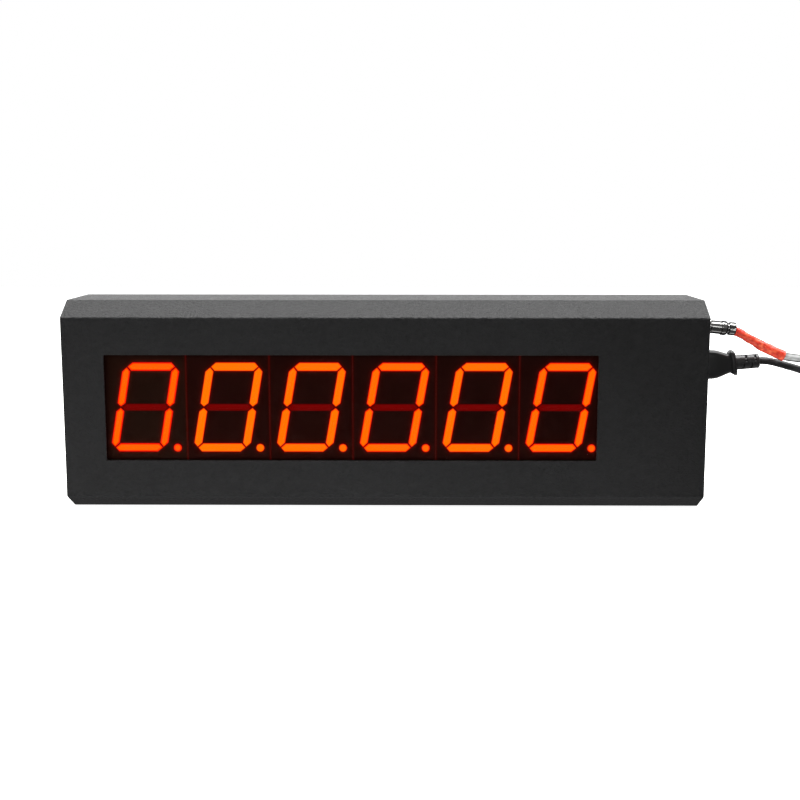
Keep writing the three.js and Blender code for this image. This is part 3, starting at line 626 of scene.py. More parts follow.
def coil_points(lead, landing_z, axis_z):
    """Down onto the surface, three turns in, up a layer, two turns out, and a curl to the far plug."""
    lower, upper, _ = layers(lead)
    turns_in, turns_out = 3, 2
    step, climb, down_to = 20, 40, -40  # degrees: between points, of the step up, where it lies down
    points = []
    for degrees in range(-90 + step, down_to, step // 2):
        share = ease((degrees + 90) / (down_to + 90))
        points.append(on_coil(lead, degrees, lead["turn"], landing_z + (lower - landing_z) * share))
    inner_end = down_to + 360 * turns_in
    for degrees in range(down_to, inner_end + 1, step):
        radius = lead["turn"] - lead["rise"] * (degrees - down_to) / 360
        points.append(on_coil(lead, degrees, radius, lower))
    inner = lead["turn"] - lead["rise"] * turns_in
    points.append(on_coil(lead, inner_end + climb / 2, inner, (lower + upper) / 2))
    outer_start = inner_end + climb
    for degrees in range(outer_start, outer_start + 360 * turns_out + 1, step):
        radius = inner + lead["rise"] * (degrees - outer_start) / 360
        points.append(on_coil(lead, degrees, radius, upper))
    centre_x = far_plug_x(lead) + STRAIGHT_END
    for degrees in range(18, 91, 12):
        a = radians(degrees)
        z = upper + (axis_z - upper) * sin(a) ** 1.2
        points.append((centre_x + lead["curl"] * cos(a), lead["curl"] * sin(a), z))
    points.append((centre_x - STRAIGHT_END, lead["curl"], axis_z))
    return points


def cord_piece(name, lead, line, body, slot, replaces):
    curve = bpy.data.curves.new(name, "CURVE")
    curve.dimensions = "3D"
    curve.bevel_depth = lead["diameter"] / 2 * MM
    curve.bevel_resolution = 5
    curve.use_fill_caps = True
    spline = curve.splines.new("POLY")
    spline.points.add(len(line) - 1)
    for point, place in zip(spline.points, line):
        point.co = (*(place * MM), 1)
    spline.use_smooth = True
    piece = link_object(name, curve)
    curve.materials.append(LOOKS[slot])
    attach(piece, body)
    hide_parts(*replaces)
    return piece


WALL_PLUG_Z = layers(MAINS)[2] + GAP + 10  # half the grip's height above the coil
FAR_PLUG_Z = layers(SIGNAL)[2] + GAP + RING_RADIUS
INTO_PLUG = 4  # how far a cord's end is hidden in the piece it comes out of


def lead_line(lead, route, axis_z):
    first, second = Vector(route[0]), Vector(route[1])
    start = first - (second - first).normalized() * INTO_PLUG
    points = [tuple(start), *route, *coil_points(lead, route[-1][2], axis_z)]
    end = Vector(points[-1]) - Vector((INTO_PLUG, 0, 0))
    return catmull([*points, tuple(end)], 5)


mains_cord = cord_piece(
    "mains_lead_cord", MAINS, lead_line(MAINS, MAINS_ROUTE, WALL_PLUG_Z), "mains_lead", "black_cord",
    ["mains_cord", "mains_cord_coil", "mains_cord_end"],
)
signal_cord = cord_piece(
    "signal_lead_cable", SIGNAL, lead_line(SIGNAL, SIGNAL_ROUTE, FAR_PLUG_Z), "signal_lead", "grey_cable",
    ["signal_cable", "signal_cable_coil", "signal_cable_end"],
)


def tie_piece(name, lead, body, node):
    """A hook-and-loop strap round the bundle, with its loose end lapped over the top."""
    _, _, top = layers(lead)
    outer = lead["turn"] + lead["diameter"] / 2 + TIE_CLEARANCE
    inner = lead["turn"] - lead["columns"] * lead["rise"] - lead["diameter"] / 2 - 2 * TIE_CLEARANCE
    low, high = TIE_THICK, top + TIE_CLEARANCE
    inside = rounded([(inner, low), (outer, low), (outer, high), (inner, high)], [2.4, 2.4, 4.2, 2.4], 6)
    outside = inset(inside, -TIE_THICK)
    half, crown = TIE_WIDTH / 2, 0.12  # the strap is thinner at its two edges by the crown
    across = [(-half, 0), (-half + 0.5, crown), (half - 0.5, crown), (half, 0)]
    rings = []
    for r, x in zip(inside, outside):
        wall = Vector((x[0] - r[0], 0, x[1] - r[1])).normalized()
        loop = [Vector((r[0], y, r[1])) for y, _ in across]
        rim = [Vector((x[0], y, x[1])) + wall * (c - crown) for y, c in reversed(across)]
        rings.append(loop + rim)
    rings.append(rings[0])
    place = move(lead["coil_x"], 0, 0) @ turn(radians(lead["tie_angle"]), "Z")
    start, lap_length, steps = (inner + outer) / 2 - 9, 16, 8
    lap = []
    for k in range(steps + 1):
        x = start + lap_length * k / steps
        z = high + TIE_THICK + 0.04 + 0.5 * max(0.0, (k - 6) / 2) ** 2
        w = half * (1.0 if k < steps else 0.82)
        corners = ((-w, z), (w, z), (w, z + TIE_THICK), (-w, z + TIE_THICK))
        lap.append([Vector((x, y, v)) for y, v in corners])
    shell = merged([skin(placed(rings, place), closed=False), skin(placed(lap, place))])
    return mesh_piece(name, shell, body, "tie_strap", [node])


mains_tie = tie_piece("mains_lead_tie", MAINS, "mains_lead", "mains_cord_tie")
signal_tie = tie_piece("signal_lead_tie", SIGNAL, "signal_lead", "signal_cable_tie")

# ---- case


def c_section():
    """The folded sleeve's section as (y, z): the outer skin, and the inner skin with its two lips."""
    seat = REAR - SHEET - GAP
    outer = [
        (REAR, 0), (REAR, CASE_HEIGHT), (FRONT + CHAMFER_BACK, CASE_HEIGHT),
        (FRONT, CASE_HEIGHT - CHAMFER_UP), (FRONT, CHAMFER_UP), (FRONT + CHAMFER_BACK, 0),
    ]
    inner = inset(outer, SHEET)
    fold, tight, lip_end = 2.4, 0.9, SHEET + LIP
    loop = [(REAR, 0, 0.3)] + [(y, z, fold) for y, z in reversed(outer[2:])] + [(REAR, CASE_HEIGHT, 0.3)]
    under, tip = CASE_HEIGHT - SHEET, CASE_HEIGHT - lip_end
    upper_lip = [
        (REAR, under, 0.2), (seat, under, 0.2), (seat, tip, 0.3), (seat - SHEET, tip, 0.3),
        (seat - SHEET, under, 0.2),
    ]
    skin_inside = [(y, z, tight) for y, z in inner[2:]]
    lower_lip = [(y, CASE_HEIGHT - z, r) for y, z, r in reversed(upper_lip)]
    loop += upper_lip + skin_inside + lower_lip
    return rounded([(y, z) for y, z, _ in loop], [r for _, _, r in loop], 7)


def circle(radius, sides, x=0.0, z=0.0):
    return [(x + radius * cos(tau * i / sides), z + radius * sin(tau * i / sides)) for i in range(sides)]


def make_case():
    section = c_section()
    rings = [[Vector((x, y, z)) for y, z in section] for x in (-END, -END / 3, END / 3, END)]
    base = temporary("case", skin(rings))
    frame_corners = [
        (WINDOW["left"], WINDOW["bottom"]), (WINDOW["right"], WINDOW["bottom"]),
        (WINDOW["right"], WINDOW["top"]), (WINDOW["left"], WINDOW["top"]),
    ]
    cutters = [prism(rounded(frame_corners, 0.6, 4), FRONT - 1, FRONT + SHEET + 1)]
    seat = REAR - SHEET - GAP
    for x in SCREW_X:
        for z in SCREW_Z:
            cutters.append(prism(circle(SCREW_RADIUS + GAP, 24, x, z), seat - SHEET - 1, seat + 1))
    mesh = cut_mesh(base, cutters)
    mesh.transform(Matrix.Scale(MM, 4))
    bevel(finish_piece("case_sleeve", mesh, "case", "powder_coat", ["case_shell"]), 0.22)


make_case()

for plate in ("left_end_plate", "right_end_plate", "rear_cover"):
    bevel(NODES[plate], 0.25)


def make_stud(index, x, z):
    """A welded threaded stud that holds the display board."""
    pitch, depth, bare, sides, steps = 0.5, 0.26, 1.5, 16, 160
    start, length = FRONT + SHEET - 0.2, STUD_LENGTH - SHEET
    rings = []
    for k in range(steps + 1):
        at = length * k / steps
        ring = []
        for i in range(sides):
            angle = tau * i / sides
            phase = (at / pitch - i / sides) % 1
            groove = depth * (1 - abs(2 * phase - 1)) if at > bare else 0.0
            radius = STUD_RADIUS - 0.02 - groove
            ring.append(Vector((x + radius * cos(angle), start + at, z + radius * sin(angle))))
        rings.append(ring)
    mesh_piece(f"board_stud_{index}", skin(placed(rings, Matrix())), "case", "zinc_screw")


for number, (stud_x, stud_z) in enumerate([(x, z) for x in STUD_X for z in STUD_Z], 1):
    make_stud(number, stud_x, stud_z)


def make_screw(index, x, z):
    """A countersunk screw with a cross recess, its head flush with the rear cover."""
    length, head_height = 8, 1.3
    profile = [
        (0, 0.3), (0.5, SCREW_RADIUS), (length - head_height, SCREW_RADIUS), (length - 0.25, SCREW_HEAD),
        (length, SCREW_HEAD - 0.1),
    ]
    body = temporary("screw", skin(turned(profile, 32)))
    arms = []
    for wide, tall in ((3.4, 0.62), (0.62, 3.4)):
        w, t = wide / 2, tall / 2
        corners = ((-w, -t), (w, -t), (w, t), (-w, t))
        ends = ((length - 1, 0.35), (length + 0.4, 1))  # each arm narrows towards the recess's bottom
        arms.append(skin([[Vector((at, y * size, v * size)) for y, v in corners] for at, size in ends]))
    mesh = cut_mesh(body, arms)
    place = move(x, REAR - length, z) @ turn(radians(25 * index), "Y")
    mesh.transform(Matrix.Scale(MM, 4) @ place @ turn(pi / 2, "Z"))
    finish_piece(f"cover_screw_head_{index}", mesh, "case", "zinc_screw", [f"cover_screw_{index}"], 35)


for number, (screw_x, screw_z) in enumerate([(x, z) for x in SCREW_X for z in SCREW_Z], 1):
    make_screw(number, screw_x, screw_z)

# ---- display


def bar_outlines():
    """The seven bars of a digit about its centre, leaning: top, bottom, middle, then the four uprights."""
    w, h = DIGIT_WIDTH / 2, DIGIT_HEIGHT / 2
    half, mid = BAR["gap"] / 2, BAR["middle"] / 2
    level, upright, out = BAR["level"], BAR["upright"], BAR["point_out"]
    top = [
        (-w + level + half, h), (w - level - half, h), (w - out - half, h - out),
        (w - level - half, h - level), (-w + level + half, h - level), (-w + out + half, h - out),
    ]
    upper_left = [
        (-w, h - level - half), (-w + out, h - out - half), (-w + upright, h - level - half),
        (-w + upright, mid + half), (-w + upright / 2, half), (-w, mid + half),
    ]
    middle = [
        (-w + upright + half, mid), (w - upright - half, mid), (w - upright / 2 - half, 0),
        (w - upright - half, -mid), (-w + upright + half, -mid), (-w + upright / 2 + half, 0),
    ]

    def flip(bar, u, v):
        return [(u * x, v * z) for x, z in bar]

    bars = [top, flip(top, 1, -1), middle] + [flip(upper_left, u, v) for u in (1, -1) for v in (1, -1)]
    return [[(x + z * tan(DIGIT_SLANT), z) for x, z in bar] for bar in bars]


BARS = bar_outlines()
SOFT_BARS = [rounded(bar, 0.5, 3) for bar in BARS]
MIDDLE = 2
DOT = circle(DOT_RADIUS, 32, DOT_X, DOT_Z)
LIT = [bar for i, bar in enumerate(BARS) if i != MIDDLE] + [DOT]
LIT_PIPES = [bar for i, bar in enumerate(SOFT_BARS) if i != MIDDLE] + [DOT]
WINDOW_SHADE = 5  # width of the painted shade band inside the window's left and top edges


def outside_distance(x, z, outline):
    """How far a point is from an outline's edge."""
    best = inf
    for i, (bx, bz) in enumerate(outline):
        ax, az = outline[i - 1]
        dx, dz = bx - ax, bz - az
        t = min(1.0, max(0.0, ((x - ax) * dx + (z - az) * dz) / (dx * dx + dz * dz)))
        best = min(best, hypot(x - ax - t * dx, z - az - t * dz))
    return best


def glowing_bar(outline):
    """A light pipe, with a value for each point that grows from 0 at its edge towards its middle."""
    edge = inset(outline, 0.12)
    face = MODULE_FACE + 0.1
    rings = [[Vector((x, y, z)) for x, z in edge] for y in (face + 2.2, face + 0.15)]
    depths = [0.0, 0.0]
    for distance in (0.15, 0.4, 0.7, 1.05, 1.45, 1.9, 2.4):
        rings.append([Vector((x, face, z)) for x, z in inset(edge, distance)])
        depths.append(distance / DEPTH_SPAN)
    return skin(rings), [depth for depth in depths for _ in edge]


def make_bars(name, outlines, x, material, replaces):
    """Some of a digit's light pipes as one piece, with their depths as an attribute."""
    bars = [glowing_bar(outline) for outline in outlines]
    mesh = new_mesh(name, merged([shell for shell, _ in bars]))
    mesh.transform(Matrix.Scale(MM, 4) @ move(x, 0, MODULE["z"]))
    depth = mesh.attributes.new("depth", "FLOAT", "POINT")
    depth.data.foreach_set("value", [value for _, values in bars for value in values])
    turn_outwards(mesh)
    finish_piece(name, mesh, "case", "lit_segment", replaces, 30, material)


def module_box():
    """A module's outer walls and face; the face is a fine grid that can carry the light's spill."""
    w, h = MODULE["width"] / 2, MODULE["height"] / 2
    across, up = 46, 60
    row = across + 1
    points = [
        Vector((-w + 2 * w * i / across, MODULE_FACE, -h + 2 * h * j / up))
        for j in range(up + 1) for i in range(row)
    ]
    starts = [j * row + i for j in range(up) for i in range(across)]
    faces = [(a, a + 1, a + row + 1, a + row) for a in starts]
    rim = list(range(across)) + [j * row + across for j in range(up)]
    rim += [up * row + i for i in range(across, 0, -1)] + [j * row for j in range(up, 0, -1)]
    start = len(points)
    points += [Vector((points[i].x, MODULE_FACE + MODULE["depth"], points[i].z)) for i in rim]
    for k in range(len(rim)):
        j = (k + 1) % len(rim)
        faces.append((rim[k], rim[j], start + j, start + k))
    faces.append(tuple(range(start, start + len(rim))))
    return points, faces


def spill(x, y, z):
    """How much light falls on a point of the module: near its lit bars, and along its sides."""
    if y > MODULE_FACE + 0.01:
        return 0.0
    near = min(outside_distance(x, z, bar) for bar in LIT)
    from_bars = 0.8 * exp(-near / 1.2) + 0.2 * exp(-near / 6)
    return max(from_bars, 0.75) if MODULE["width"] / 2 - abs(x) < 0.1 else from_bars


def make_housing(index, x):
    """A digit module: a dark face with a slot for each light pipe, in a thin-walled box."""
    wall = MODULE["wall"]
    w, h = MODULE["width"] / 2 - wall, MODULE["height"] / 2 - wall
    inside = [(-w, -h), (w, -h), (w, h), (-w, h)]
    cutters = [prism(inside, MODULE_FACE + wall, MODULE_FACE + MODULE["depth"] + 1)]
    cutters += [prism(slot, MODULE_FACE - 1, MODULE_FACE + wall + 0.5) for slot in [*SOFT_BARS, DOT]]
    mesh = cut_mesh(temporary("module", module_box()), cutters)
    halo = mesh.attributes.new("halo", "FLOAT", "POINT")
    shade = mesh.attributes.new("shade", "FLOAT", "POINT")
    for i, vertex in enumerate(mesh.vertices):
        halo.data[i].value = spill(*vertex.co)
        inside_window = min(vertex.co.x + x - WINDOW["left"], WINDOW["top"] - MODULE["z"] - vertex.co.z)
        shade.data[i].value = ease(inside_window / WINDOW_SHADE)
    mesh.transform(Matrix.Scale(MM, 4) @ move(x, 0, MODULE["z"]))
    face = BROWN_FACE if index == 1 else None
    finish_piece(f"digit_{index}_face", mesh, "case", "digit_housing", [f"digit_{index}_housing"], 30, face)


# Each digit's light: how orange its core is, how wide its pure red edge is, and how wide the blend is.
LIGHTS = [
    (0.118, 0.55, 0.9), (0.172, 0.1, 0.6), (0.16, 0.15, 0.7), (0.14, 0.3, 0.8), (0.16, 0.15, 0.7),
    (0.135, 0.35, 0.8),
]
for number in range(1, MODULE["count"] + 1):
    digit_x = MODULE["first"] + (number - 1) * MODULE["pitch"]
    glow = lit_bars(f"lit_segment_{number}", *LIGHTS[number - 1])
    make_bars(f"digit_{number}_lit", LIT_PIPES, digit_x, glow, [f"digit_{number}_segments"])
    make_bars(f"digit_{number}_unlit", [SOFT_BARS[MIDDLE]], digit_x, UNLIT, [])
    make_housing(number, digit_x)

bevel(NODES["window_filter"], 0.3)

# ---- sockets

for node_name in ("inlet_body", "inlet_line_pin", "inlet_neutral_pin", "inlet_earth_pin"):
    bevel(NODES[node_name], 0.3)

SOCKET_PLACE = move(END, SOCKET_Y, SOCKET_Z)
NUT_RADIUS, NUT_BORE = 8.1, 6.1


def thread_radius(crest, depth, pitch):
    """A thread cut into the parts of a profile that are at its crest."""
    def radius_at(x, angle, radius):
        phase = (x / pitch - angle / tau) % 1
        return radius - depth * (1 - abs(2 * phase - 1)) if abs(radius - crest) < 1e-6 else radius
    return radius_at


def make_socket():
    """The circular socket: a threaded nose outside the end plate, a flange inside it."""
    crest, bore, out, back, flange, turns = 5.9, 4.95, 5, -9, 8, 70
    seat = -SHEET - GAP
    nose = [(0.1 + k * (out - 0.7) / turns, crest) for k in range(turns + 1)]
    profile = [
        (back, bore), (back, crest - 0.1), (seat - 2, crest - 0.1), (seat - 2, flange), (seat, flange),
        (seat, crest - 0.1), *nose, (out - 0.4, crest - 0.25), (out, crest - 0.6), (out, bore),
        (back, bore),
    ]
    shell = skin(placed(turned(profile, 40, thread_radius(crest, 0.45, 1.0)), SOCKET_PLACE), closed=False)
    mesh_piece("socket_nose", shell, "case", "nickel_plate", ["signal_socket_shell"])


def make_panel_nut():
    hexagon = rounded(circle(NUT_RADIUS, 6), 0.4, 3)
    steps = [(0.3, 0.97), (0.55, 1.0), (1.65, 1.0), (1.9, 0.97)]  # distance from the plate, size
    rings = [[Vector((x, y * size, z * size)) for y, z in hexagon] for x, size in steps]
    base = temporary("nut", skin(rings))
    mesh = cut_mesh(base, [skin(turned([(-1, NUT_BORE), (4, NUT_BORE)], 40))])
    mesh.transform(Matrix.Scale(MM, 4) @ SOCKET_PLACE)
    finish_piece("socket_nut", mesh, "case", "nickel_plate", ["socket_panel_nut"], 25)


make_socket()
make_panel_nut()

# ---- signal plug

# The plug's shell from its collar to its clamp, as (distance from the plug's front, radius).
PLUG_PROFILE = [
    (COLLAR_FRONT, 0.02), (COLLAR_FRONT, 5.6), (6.3, 5.7), (8.1, 5.7), (8.2, 5.6), (8.2, 4.9), (10.6, 4.9),
    (10.6, 5.5), (10.75, 5.65), (18.9, 5.65), (19.05, 5.45), (19.3, 5.45), (19.45, 6.15), (19.7, 6.3),
    (22.8, 6.3), (23.8, 5.9), (24.7, 4.9), (24.9, 4.5), (25.8, 4.5), (26.0, 5.3), (26.3, 5.9), (26.7, 6.0),
    (30.4, 6.0), (31.2, 5.7), (PLUG_END, 5.2), (PLUG_END, 4.6), (30.2, 4.5), (30.2, 0.02),
]
CLAMP_START, FLUTES_START, FLUTES_END = 26, 26.2, 31.5
KNURL_MARGIN = 1.2


def clamp_radius(x, angle, radius):
    """Four deep flutes between the lugs of the cable clamp at the plug's tail."""
    if FLUTES_START < x < FLUTES_END and radius > 5:
        wave = max(0.0, cos(4 * angle + 0.5)) ** 1.5
        return radius - 1.5 * wave * min(1.0, (x - FLUTES_START) / 0.6)
    return radius


def fine(profile, x0, x1, step):
    """A profile with extra points between two distances, so that a shape drawn on it shows."""
    out = [profile[0]]
    for (xa, ra), (xb, rb) in zip(profile, profile[1:]):
        if x0 <= min(xa, xb) and max(xa, xb) <= x1 and abs(xb - xa) > step:
            count = ceil(abs(xb - xa) / step)
            out += [(xa + (xb - xa) * k / count, ra + (rb - ra) * k / count) for k in range(1, count)]
        out.append((xb, rb))
    return out


def make_plug_shell(name, place, node):
    rings = turned(fine(PLUG_PROFILE, CLAMP_START, PLUG_END, 0.35), 72, clamp_radius)
    return mesh_piece(name, skin(placed(rings, place)), "signal_lead", "nickel_plate", [node], 30)


def knurl(x, angle, radius):
    """A straight knurl round the middle of the coupling ring."""
    inside = RING_START + KNURL_MARGIN < x < RING_START + RING_LENGTH - KNURL_MARGIN and radius > 7
    return radius - (0.3 * abs(sin(20 * angle)) if inside else 0.0)


def make_ring(name, place, body, node):
    start, end = RING_START, RING_START + RING_LENGTH
    bore, lip_bore, rim, edge = 6.3, 5.7, 6.9, 0.01  # the knurl starts within two edges
    profile = [
        (start, bore), (start, rim), (start + 0.5, RING_RADIUS), (start + KNURL_MARGIN - edge, RING_RADIUS),
        (start + KNURL_MARGIN + edge, RING_RADIUS), (end - KNURL_MARGIN - edge, RING_RADIUS),
        (end - KNURL_MARGIN + edge, RING_RADIUS), (end - 0.5, RING_RADIUS), (end, rim), (end, lip_bore),
        (end - RING_LIP, lip_bore), (end - RING_LIP, bore), (start, bore),
    ]
    shell = skin(placed(turned(profile, 160, knurl), place), closed=False)
    return mesh_piece(name, shell, body, "nickel_plate", [node], 30)


PLUG_PLACE = move(END + COLLAR_FRONT, SOCKET_Y, SOCKET_Z) @ turn(PLUG_DROOP, "Y") @ move(-COLLAR_FRONT, 0, 0)
signal_plug = make_plug_shell("signal_plug", PLUG_PLACE, "signal_plug_shell")
make_ring("signal_plug_ring", SOCKET_PLACE, "coupling_ring", "coupling_ring")

FAR_PLACE = move(far_plug_x(SIGNAL) - PLUG_END, SIGNAL["curl"], FAR_PLUG_Z)
far_plug = make_plug_shell("far_signal_plug", FAR_PLACE, "far_plug_shell")
far_ring = make_ring("far_signal_plug_ring", FAR_PLACE, "signal_lead", "far_coupling_ring")


def make_sleeve():
    """Heat-shrink over the cable's end: narrow on the wires behind the clamp, wider on the jacket."""
    narrow, widening, bore = 3.75, 0.72, 3.68
    line = catmull([(300.6, -5, 150.7), *SLEEVE_ROUTE], 14)

    def radius(at, angle):
        share = ease((at - 14) / 20)
        fold = 0.1 * sin(at / 0.55 + 1.5 * sin(angle)) * (1 - 0.7 * share)
        lump = 0.4 * noise.noise(Vector((at * 0.16, 1.4 * cos(angle), 1.4 * sin(angle))))
        return narrow + widening * share + fold + lump

    outside = along_line(line, radius, 40)
    inside = along_line(line, lambda at, angle: bore, 40)
    shell = skin(placed([*outside, inside[-1], inside[-12]], Matrix()))
    return mesh_piece("sleeve", shell, "signal_lead", "heat_shrink", ["heat_shrink_sleeve"], 50)


sleeve = make_sleeve()

# ---- mains plug

PLUG_SIDES = 48


def squared(half_y, half_z, power, sides, cz=0.0):
    """A ring of a rounded rectangle as (y, z), by the superellipse of that power."""
    out = []
    for i in range(sides):
        angle = tau * i / sides
        c, s = cos(angle), sin(angle)
        y = copysign(abs(c) ** (2 / power), c) * half_y
        out.append((y, cz + copysign(abs(s) ** (2 / power), s) * half_z))
    return out


def lofted(stations, per_span=4):
    """Rings through (x, half_y, half_z, power, centre z) stations, eased between them."""
    line = catmull([(s[0], s[1], s[2]) for s in stations], per_span)
    extra = catmull([(s[0], s[3], s[4]) for s in stations], per_span)
    return [
        [Vector((p.x, y, z)) for y, z in squared(p.y, p.z, max(2.0, q.y), PLUG_SIDES, q.z)]
        for p, q in zip(line, extra)
    ]


# The strain relief's slots: how far along it each is, and whether it is above or below its axis.
SLOTS = ((29.4, 1), (37.3, 1), (26.4, -1), (33.7, -1))


def slot_depth(x, angle):
    """Staggered slots in each side of the strain relief: a pair above its middle and a pair below."""
    rise = sin(angle) / max(abs(cos(angle)), 0.01)
    low, high, edge = 0.1, 3.5, 0.15
    for centre, upward in SLOTS:
        along, up = 0.95 - abs(x - centre), rise * upward
        if along > 0 and low < up < high:
            return 2.2 * min(1.0, along / edge) * min(1.0, (up - low) / edge) * min(1.0, (high - up) / 1.2)
    return 0.0


FLANGE = [  # height, front and back along the plug, half width
    (-11.0, 1.3, 2.6, 3.2), (-10.7, 0.6, 3.0, 4.6), (-9.6, -1.0, 3.1, 6.2), (-8.2, -2.3, 3.1, 7.4),
    (-6, -2.7, 3.0, 8.1), (-2, -2.8, 2.9, 8.4), (3, -2.9, 2.7, 8.3), (6, -3.2, 2.6, 7.8),
    (8, -3.3, 2.5, 7.1), (9.6, -2.9, 2.1, 6.1), (10.6, -2.1, 1.4, 4.9), (11.2, -1.2, 0.5, 3.4),
    (11.35, -0.6, 0.0, 2.0),
]


def flange_rings():
    """The finger flange, stacked from its foot up to its rounded top."""
    stations = catmull([(x0, x1, half) for _, x0, x1, half in FLANGE], 3)
    heights = catmull([(z, 0, 0) for z, _, _, _ in FLANGE], 3)
    rings = []
    for (x0, x1, half), height in zip(stations, heights):
        ring = squared((x1 - x0) / 2, half, 3.2, 40)
        rings.append([Vector(((x0 + x1) / 2 + x, y, height.x)) for x, y in ring])
    return rings


def make_mains_plug():
    """A nose in the inlet, a waisted grip, a finger flange and a slotted strain relief that rises."""
    inlet_face = END + GAP + INLET_RIM
    mouth = inlet_face + GAP
    grip = lofted([
        (mouth, 8.7, 12.0, 5.5, 0), (mouth + 0.7, 9.1, 12.35, 5.5, 0), (278, 9.2, 12.4, 5.5, 0),
        (285, 9.2, 12.4, 5, 0), (289, 8.9, 11.9, 4.5, 0.1), (293, 8.2, 10.7, 4, 0.25),
        (297, 7.4, 9.3, 3.4, 0.5), (300, 6.9, 8.3, 3, 0.6), (303, 6.4, 7.2, 2.6, 0.5),
        (306, 6.0, 6.4, 2.2, 0.4),
    ])
    nose = lofted([
        (inlet_face - PLUG_DEPTH, 7.7, 11.6, 7, 0), (inlet_face - PLUG_DEPTH + 0.6, 7.9, 11.8, 7, 0),
        (mouth - 2, 7.9, 11.8, 7, 0), (mouth + 1, 7.9, 11.8, 7, 0),
    ], 1)
    start, radius, step, taper = 18, 6.5, 0.15, 0.002
    relief = [(start, 0.02), (start, radius)]
    relief += [(start + k * step, radius - k * taper) for k in range(1, 150)]
    relief += [(40.6, 6.0), (40.9, 5.6), (41, 5.1), (41, 3.5), (39, 3.4), (39, 0.02)]
    tail = turned(relief, 72, lambda x, angle, r: r - (slot_depth(x, angle) if r > 5.2 else 0.0))
    on_axis = move(0, INLET_Y, INLET_Z)
    swing = move(285, INLET_Y, INLET_Z) @ turn(-PLUG_LIFT, "Y")
    flange_at = swing @ move(17.9, 0, 0) @ turn(radians(-2), "Y")
    places = ((grip, on_axis), (nose, on_axis), (flange_rings(), flange_at), (tail, swing))
    shell = merged([skin(placed(rings, place)) for rings, place in places])
    return mesh_piece("mains_plug", shell, "mains_lead", "black_moulding", ["mains_plug_body"], 35)


mains_plug = make_mains_plug()


def make_wall_plug():
    """The plug on the mains lead's far end, with a ribbed tail and a waisted grip."""
    tail_profile = [(0, 0.02), (0, 3.6), (0.3, 4.0)]
    for k in range(1, 48):
        x = 0.3 + k * 0.5
        rib = 0.45 if int(x / 2.4) % 2 else 0.0
        tail_profile.append((x, 4.1 + x * 0.055 - rib))
    tail_profile += [(25, 5.4), (25, 0.02)]
    grip = lofted([
        (22, 4.2, 3.6, 2.2, 0), (24, 5.4, 4.4, 2.4, 0), (29, 8.2, 6.4, 3, 0), (35, 11.2, 8.8, 4, 0),
        (40, 12.8, 9.9, 5, 0), (47, 13, 10, 6, 0), (54, 13, 10, 6, 0), (55.6, 12.7, 9.7, 6, 0),
        (56, 12.2, 9.2, 6, 0),
    ])
    place = move(far_plug_x(MAINS), MAINS["curl"], WALL_PLUG_Z) @ turn(pi, "Z")
    shell = merged([skin(placed(rings, place)) for rings in (turned(tail_profile, 40), grip)])
    return mesh_piece("wall_plug", shell, "mains_lead", "black_moulding", ["wall_plug_body"], 35)


wall_plug = make_wall_plug()
bevel(NODES["wall_plug_pin_bridge"], 0.35)

# ---- floor, lights and surroundings


def area_light(name, at, towards, size, power):
    """A rectangular lamp in metres and watts, seen in the object but not by the camera."""
    data = bpy.data.lights.new(name, "AREA")
    data.shape = "RECTANGLE"
    data.size, data.size_y = size
    data.energy = power
    light = link_object(name, data)
    light.location = at
    light.rotation_euler = (Vector(towards) - Vector(at)).to_track_quat("-Z", "Y").to_euler()
    light.visible_camera = False
    return light


area_light("top_softbox", (0.3, 0.2, 1.35), (0.3, 0.2, 0.1), (2.6, 0.9), 79)
low_panel = area_light("low_front_panel", (-0.3, -0.36, -0.11), (-0.3, 0.0, -0.11), (1.25, 0.22), 7)
low_panel.visible_glossy = False
area_light("front_strip", (0.05, -1.7, 0.5), (0.05, 0.0, 0.1), (1.5, 0.45), 3.2)
area_light("left_softbox", (-1.3, -1.2, 0.4), (-0.2, 0.0, 0.05), (0.5, 0.7), 3.5)

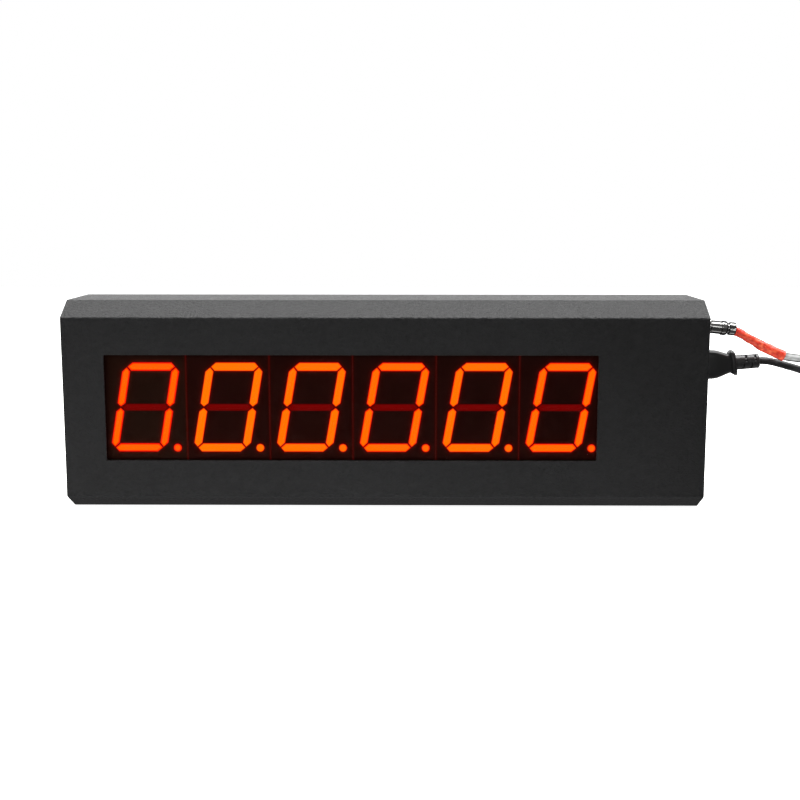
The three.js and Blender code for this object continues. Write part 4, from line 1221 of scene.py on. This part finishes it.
reach = 3  # metres of paper on each side of the object
corners = [(-reach, -reach, 0), (reach, -reach, 0), (reach, reach, 0), (-reach, reach, 0)]
floor = link_object("floor", new_mesh("floor", (corners, [(0, 1, 2, 3)])))
floor.location.z = -0.0002  # just clear of the object's underside
for ray in ("glossy", "diffuse", "transmission", "shadow"):
    setattr(floor, f"visible_{ray}", False)
paper = Finish("floor_paper", (0.8, 0.8, 0.8), 0.9)
paper.shader.inputs["Emission Color"].default_value = (1, 1, 1, 1)
paper.shader.inputs["Emission Strength"].default_value = 0.93
floor.data.materials.append(paper.material)


# How bright the studio is at each angle over the object: 0 is level towards the reader, 90 is straight up.
STUDIO = [
    (-180, 0.1), (-112, 0.1), (-101, 0.9), (-79, 0.9), (-70, 0.05), (-8, 0.03), (3, 0.1), (28, 0.1),
    (36, 0.08), (54, 0.08), (64, 0.4), (104, 0.4), (114, 0.15), (145, 0.2), (160, 1.9), (180, 2.2),
]


def surroundings():
    """White to the eye; to the object, a studio bright above and behind, and dim towards the reader."""
    world = bpy.data.worlds.new("studio")
    bpy.context.scene.world = world
    world.use_nodes = True
    nodes, links = world.node_tree.nodes, world.node_tree.links
    nodes.clear()

    def add(kind, *sources):
        """A node of a kind, with the sources linked to its first inputs."""
        node = nodes.new("ShaderNode" + kind)
        for source, socket in zip(sources, node.inputs):
            links.new(source, socket)
        return node

    parts = add("SeparateXYZ", add("TexCoord").outputs["Generated"])
    towards = add("Math", parts.outputs["Y"])
    towards.operation = "MULTIPLY"
    towards.inputs[1].default_value = -1
    angle = add("Math", parts.outputs["Z"], towards.outputs[0])
    angle.operation = "ARCTAN2"
    share = add("MapRange", angle.outputs[0])
    share.inputs["From Min"].default_value = -pi
    share.inputs["From Max"].default_value = pi
    ramp = add("ValToRGB", share.outputs["Result"])
    fill_ramp(ramp, [((degrees + 180) / 360, (level,) * 3) for degrees, level in STUDIO])
    white = add("Background")
    white.inputs["Color"].default_value = (1, 1, 1, 1)
    studio = add("Background", ramp.outputs["Color"])
    mix = add("MixShader", add("LightPath").outputs["Is Camera Ray"], studio.outputs[0], white.outputs[0])
    add("OutputWorld", mix.outputs[0])


surroundings()
bpy.context.scene.view_settings.view_transform = "Standard"
bpy.context.scene.view_settings.look = "None"
